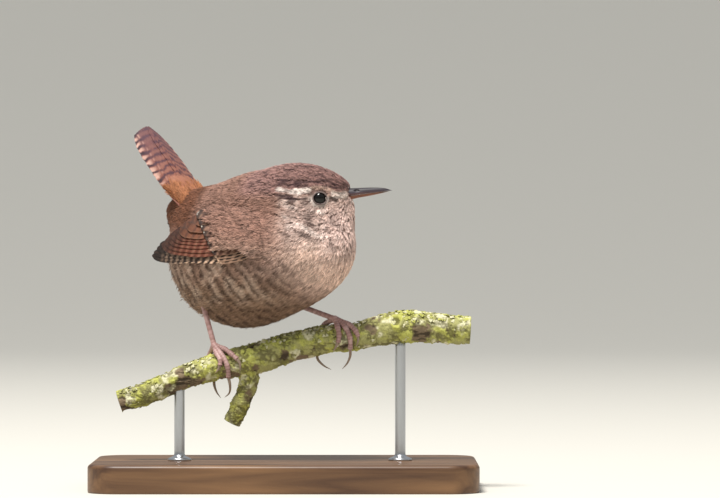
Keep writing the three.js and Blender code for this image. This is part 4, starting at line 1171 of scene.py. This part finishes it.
def add_coat():
    """All feathers at once, then parted into bands by their distance from the bill."""
    rng = np.random.default_rng(11)
    sets = [body_feathers(rng), shoulder_feathers(rng, -1), shoulder_feathers(rng, 1),
            tail_cover(rng)]
    roots, points, share = (np.concatenate(each) for each in zip(*sets))
    count, many = points.shape[:2]
    fleck = np.repeat(rng.uniform(0, 1, count), many)
    fleck = np.where(share.ravel() < 0.5, fleck, 0.5 + 0.4 * fleck)
    grain = (np.repeat(rng.normal(0, 0.5, count), many)
             + rng.normal(0, 0.45, count * many)).clip(-1.3, 1.3)
    tail = np.arange(count * many) >= (count - len(sets[3][0])) * many
    over_wing = ~tail & (np.arange(count * many) >= len(sets[0][0]) * many)
    grain = np.where(over_wing, 1.5 * grain, grain)
    base, body, tips = (plumage(points[:, :, k].reshape(-1, 3), fleck, grain) for k in (0, 3, 4))
    for shown in (base, body, tips):
        shown[over_wing] *= 1.06
        shown[tail] = PLUMAGE["tail_base"] * (1 + 0.28 * grain[tail, None])
    tint = np.stack([DEEP_SHADE * base, body, body, body, 1.05 * tips], 1)
    tint = tint.reshape(count, many, 5, 3)
    bake = (flat_place(roots)[:, None, None]
            + rng.uniform(-0.0015, 0.0015, (count, many, 1, 2))
            + np.array([[0, 0], [-1, 1], [1, 1], [0, 1], [0, 2]]) * 0.0002)
    sliver = np.array([[0, 1, 3], [0, 3, 2], [0, 2, 1], [4, 3, 1], [4, 2, 3], [4, 1, 2]])
    # Loose barbs: nearly matt, each catching the light at its own slant
    barb = tinted("soft contour feather", "#8a6b55", 0.75, Specular_IOR_Level=0.25)[0]
    order = np.argsort(np.linalg.norm(roots - BILL_BASE, axis=1))
    for name, picked in zip(COAT_PIECES, np.array_split(order, len(COAT_PIECES))):
        total = len(picked) * many
        flat = points[picked].reshape(-1, 3)
        faces = (sliver + 5 * np.arange(total)[:, None, None]).reshape(-1, 3)
        part("coat_" + name, (flat, outward(flat - flat[0], faces)), barb, "plumage",
             tint=tint[picked].reshape(-1, 3), bake=bake[picked].reshape(-1, 2), smooth=False)


add_coat()


# The bill: thin and slightly curved down, dark bluish horn above and paler brown
# horn below, with a slit nostril in a shallow groove on each side.
# Ahead, top, mouth line, bottom, half width
BILL_ROWS = np.array([
    (-2.2, 1.45, -0.7, -1.75, 1.75), (0, 1.6, -0.5, -1.6, 1.6), (2.6, 1.72, -0.15, -1.05, 1.28),
    (5.2, 1.8, 0.18, -0.62, 1.02), (7.8, 1.78, 0.52, -0.1, 0.76), (9.7, 1.6, 0.78, 0.3, 0.5),
    (11.8, 0.95, 0.91, 0.88, 0.03)])
LOWER_SHORT = 0.955
NOSTRIL_ALONG, NOSTRIL_UP = 1.7, 0.95
BILL_COLOURS = palette(horn="#251e24", deep="#3a3038", pale="#7c4f3c", brown="#4d382f",
                       hole="#120d0f")


def bill_point(along, across, up):
    """A place ahead, left and above of the middle of the bill's base."""
    return (BILL_BASE + np.multiply.outer(along, head_ahead) + np.multiply.outer(across, head_left)
            + np.multiply.outer(up, UP))


def mandible(upper):
    """Loft of half ovals: across = w cos a, up = edge + (ridge - edge) sin^0.9 a, closed
    by a flat inner side. Also gives each point's t, the nostril's painted shade and share of the
    way up to the ridge."""
    rows, arc = 90, 25
    t = np.linspace(0, 1, rows)
    along, top, mouth, bottom, half = line_through(BILL_ROWS, rows).T
    if not upper:
        along = BILL_ROWS[0, 0] + (along - BILL_ROWS[0, 0]) * LOWER_SHORT
    edge = mouth + (0.06 if upper else -0.06)
    ridge = top if upper else bottom
    a = np.linspace(0, np.pi, arc)
    across = half[:, None] * np.cos(a) * (1 if upper else 0.93)
    up = edge[:, None] + (ridge - edge)[:, None] * np.sin(a) ** 0.9
    flat = np.linspace(-1, 1, 9)[1:-1]
    across = np.concatenate([across, half[:, None] * flat * (1 if upper else 0.93)], 1)
    inner = edge[:, None] + (0.12 if upper else -0.12) * (1 - flat ** 2) * half[:, None]
    up = np.concatenate([up, inner], 1)
    along = np.repeat(along[:, None], across.shape[1], 1)
    dark = np.zeros(across.shape)
    if upper:
        off = np.hypot((along - NOSTRIL_ALONG) / 0.8, (up - NOSTRIL_UP) / 0.28)
        groove = np.hypot((along - NOSTRIL_ALONG - 0.2) / 1.7, (up - NOSTRIL_UP) / 0.6)
        pit = 0.3 * ease(1.1, 0.6, off) + 0.07 * ease(1.2, 0.3, groove)
        across = np.sign(across) * np.maximum(np.abs(across) - pit, 0.02)
        # Painted shade: the nostril slit darkens towards its middle
        dark = ease(1.15, 0.8, off)
    points, faces = ring_skin(bill_point(along, across, up),
                              bill_point(along[0, 0], 0, (edge[0] + ridge[0]) / 2),
                              bill_point(along[-1, 0], 0, ridge[-1]))
    tall = ridge - edge
    share = (up - edge[:, None]) / np.where(np.abs(tall) < 0.05, 1, tall)[:, None]
    return (points, faces, np.concatenate([[0], t.repeat(across.shape[1]), [1]]),
            np.concatenate([[0], dark.ravel(), [0]]),
            np.concatenate([[0.5], share.ravel(), [0.5]]))


def add_bill():
    """Both halves, the upper darkest on its ridge and browner by the mouth."""
    for name, upper in (("upper", True), ("lower", False)):
        points, faces, t, dark, share = mandible(upper)
        if upper:
            tint = layered(BILL_COLOURS, "deep", ("horn", ease(0.1, 0.8, share)),
                           ("pale", 0.45 * ease(0.3, 0.02, share) * ease(0.8, 0.3, t)),
                           # The nostril slit is painted near black, as painted shade inside its
                           # hole
                           ("hole", dark))
        else:
            tint = layered(BILL_COLOURS, "pale", ("brown", ease(0.55, 1.0, t)))
        tint = tint * (1 + 0.08 * noise(points * [0.4, 1, 1], 0.5, 15))[:, None]
        # Smooth horn: one soft highlight along the ridge
        material = tinted(name + " bill horn", "#4b4049", 0.5, Specular_IOR_Level=0.35)[0]
        part("bill_" + name, (points, faces), material, "dark_horn" if upper else "pale_horn",
             ["bill_" + name], tint=tint)


add_bill()


# The eyes: near-black, wet and glossy balls, each in a thin ring of bare lid skin that
# is finely notched round its edge.
LID_MAJOR, LID_MINOR = 1.87, 0.18


def ball(middle, radius, rows=40, around=64):
    """Rings of latitude: radius (cos tilt cos turn, cos tilt sin turn, sin tilt)."""
    tilt = np.linspace(-np.pi / 2, np.pi / 2, rows + 2)[1:-1][:, None]
    turn = turns(around)
    rings = middle + radius * np.stack([np.cos(tilt) * np.cos(turn), np.cos(tilt) * np.sin(turn),
                                        np.sin(tilt) + 0 * turn], -1)
    return ring_skin(rings, middle - radius * UP, middle + radius * UP)


def add_eyes():
    """A lid is a ring of radius LID_MAJOR, its own section notched as 1 + 0.08 cos 24a."""
    # Wet ball: near black, with one small sharp highlight
    glass = finish("wet dark eye", "#0d0908", 0.05, IOR=1.38)[0]
    # Bare skin: dull, and paler than the eye it rings
    lid = finish("dark lid skin", "#6f5f5b", 0.6)[0]
    for name, (middle, normal) in eye_seats.items():
        part("eye_" + name, ball(middle, EYE_RADIUS), glass, "eye", ["eye_" + name])
        level = unit(np.cross(UP, normal))
        rise = np.cross(normal, level)
        turn = turns(72)
        way = 1.07 * np.cos(turn)[:, None] * level + 0.93 * np.sin(turn)[:, None] * rise
        around = turns(14)
        depth = EYE_RADIUS - EYE_SHOWS + 0.22
        thick = LID_MINOR * (1 + 0.08 * np.cos(24 * turn))
        rings = (middle + depth * normal + LID_MAJOR * way[:, None]
                 + (thick[:, None] * np.cos(around))[..., None] * unit(way)[:, None]
                 + (thick[:, None] * np.sin(around))[..., None] * normal)
        count = len(turn)
        at = np.arange(count * 14).reshape(count, 14)
        on, up = np.roll(at, -1, 0), np.roll(at, -1, 1)
        both = np.roll(on, -1, 1)
        faces = np.concatenate([np.stack([at, on, both], -1).reshape(-1, 3),
                                np.stack([at, both, up], -1).reshape(-1, 3)])
        points = rings.reshape(-1, 3)
        part("lid_" + name, (points, outward(points - middle, faces)), lid, "plumage")


add_eyes()


# The legs and feet: thin shanks ringed by overlapping plates, four toes with soft
# pads round the branch, and curved, sharp claws of smooth horn.
TARSUS_RADIUS, TOE_RADIUS, CLAW_RADIUS, GRIP = 0.72, 0.7, 0.52, 0.25
# Knuckle, heel, and each toe's and claw's stops: X from the knuckle, degrees round the
# branch from its top, and how far it stands off
FEET = {
    "right": ((-20.1, -4.2, 40.9), (-24.4, 0.5, 56), {
        "inner": ([(1.6, 34, 0.2), (2.3, 66, 0), (1.9, 84, 0)], [(1.3, 96, 0), (0.3, 106, 0.4)]),
        "middle": ([(2.6, 38, 0.3), (3.6, 74, 0), (3.8, 104, 0), (3.4, 132, 0.5)],
                   [(3.3, 150, 2.2), (2.6, 166, 3.6), (1.2, 177, 4.4)]),
        "outer": ([(4.0, 24, 0.3), (5.6, 54, 0), (6.9, 76, 0)], [(7.4, 94, 0.1), (7.0, 116, 0.5)]),
        "hind": ([(-0.8, -48, 0.2), (-1.1, -95, 0), (-1.0, -138, 0)],
                 [(-1.2, -160, 1.2), (-0.9, -172, 2.8), (-0.1, -180, 4.3)])}),
    "left": ((14.3, -4.4, 48.4), (1.5, 4.5, 53), {
        "inner": ([(0.9, 50, 0.1), (1.2, 80, 0), (0.9, 104, 0)],
                  [(0.1, 120, 0.1), (-0.9, 134, 0.5)]),
        "middle": ([(2.6, 42, 0.1), (3.9, 70, 0), (4.3, 98, 0), (4.0, 130, 0.2)],
                   [(3.8, 158, 1.2), (3.1, 172, 2.9), (2.2, 180, 4.3)]),
        "outer": ([(4.8, 42, 0.1), (6.3, 72, 0), (6.6, 90, 0)], [(6.3, 106, 0.1), (5.5, 124, 0.5)]),
        "hind": ([(-2.2, -30, 0.1), (-4.5, -72, 0), (-5.8, -128, 0)],
                 [(-6.0, -156, 0.9), (-4.6, -170, 2.7), (-2.7, -180, 4.0)])}),
}
LEG_COLOURS = palette(pale="#a98580", light="#c6a7a2", shade="#87655f")


def scaled_tube(line, radius, sides, pitch, depth):
    """A tube with overlapping plates: r (1 - depth + depth saw(s / pitch)), all round."""
    run = np.concatenate([[0], np.cumsum(np.linalg.norm(np.diff(line, axis=0), axis=1))])
    saw = (run / pitch) % 1.0
    step = ease(0, 0.8, saw) * ease(1.0, 0.86, saw)
    rings = tube(line, radius * (1 - depth + depth * step), sides)
    start = line[0] - 0.4 * radius[0] * unit(line[1] - line[0])
    end = line[-1] + 0.4 * radius[-1] * unit(line[-1] - line[-2])
    points, faces = ring_skin(rings, start, end)
    return points, faces, np.concatenate([[0], np.repeat(step, sides), [0]])


def add_feet():
    """Straight shanks; toes are lines through their stops, swelling in three pads, and a
    claw starts inside its toe's end and thins as 1 - 0.84 s^1.6."""
    # Horny plates: a waxy light on each step between them
    skin = tinted("scaled leg skin", "#b08c88", 0.5)[0]
    # Smooth horn: a narrow highlight along the curve of each claw
    horn = finish("claw horn", "#8d7a6a", 0.35)[0]
    for name, (knuckle, heel, toes) in FEET.items():
        knuckle, heel = np.array(knuckle), np.array(heel)
        t = np.linspace(0, 1, 120)
        shin = knuckle + (heel - knuckle) * t[:, None]
        leg = scaled_tube(shin, TARSUS_RADIUS * (1.12 - 0.25 * t + 0.25 * t * t), 24, 1.5, 0.05)

        def skinned(shape, piece, replaced):
            points, faces, step = shape
            tint = layered(LEG_COLOURS, "shade", ("pale", 0.3 + 0.7 * step),
                           ("light", 0.5 * ease(0.1, 0.6, noise(points, 1.2, 17))))
            part(piece, (points, faces), skin, "leg_scales", replaced, tint=tint)

        skinned(leg, "leg_" + name, ["leg_" + name])
        shapes = []
        points, faces = ball(knuckle, 0.98, 16, 24)
        shapes.append((points, faces, np.full(len(points), 0.8)))
        for toe, (toe_stops, claw_stops) in toes.items():
            def place(stop, thick):
                x = knuckle[0] + stop[0]
                return over_perch(x, stop[1], perch_radius(x) + thick + GRIP + stop[2])

            stops = [knuckle] + [place(stop, TOE_RADIUS) for stop in toe_stops]
            line = line_through(stops, 100)
            t = np.linspace(0, 1, 100)
            pads = 1 + 0.09 * np.cos(6 * np.pi * t)
            shapes.append(scaled_tube(line, (TOE_RADIUS + 0.16 - 0.2 * t) * pads, 20, 0.8, 0.06))
            tip = stops[-1]
            hook = [place(stop, CLAW_RADIUS) for stop in claw_stops]
            claw_line = line_through([tip + 0.15 * unit(hook[0] - tip)] + hook, 40)
            s = np.linspace(0, 1, 40)
            rings = tube(claw_line, CLAW_RADIUS * (1 - 0.84 * s ** 1.6), 16, 0.85)
            point = claw_line[-1] + 0.25 * unit(claw_line[-1] - claw_line[-2])
            claw = ring_skin(rings, claw_line[0], point)
            part(f"claw_{name}_{toe}", claw, horn, "claw_horn", [f"claw_{name}_{toe}"])
        points, faces = several([(p, f) for p, f, _ in shapes])
        skinned((points, faces, np.concatenate([s for _, _, s in shapes])),
                "foot_" + name, ["foot_" + name])


add_feet()
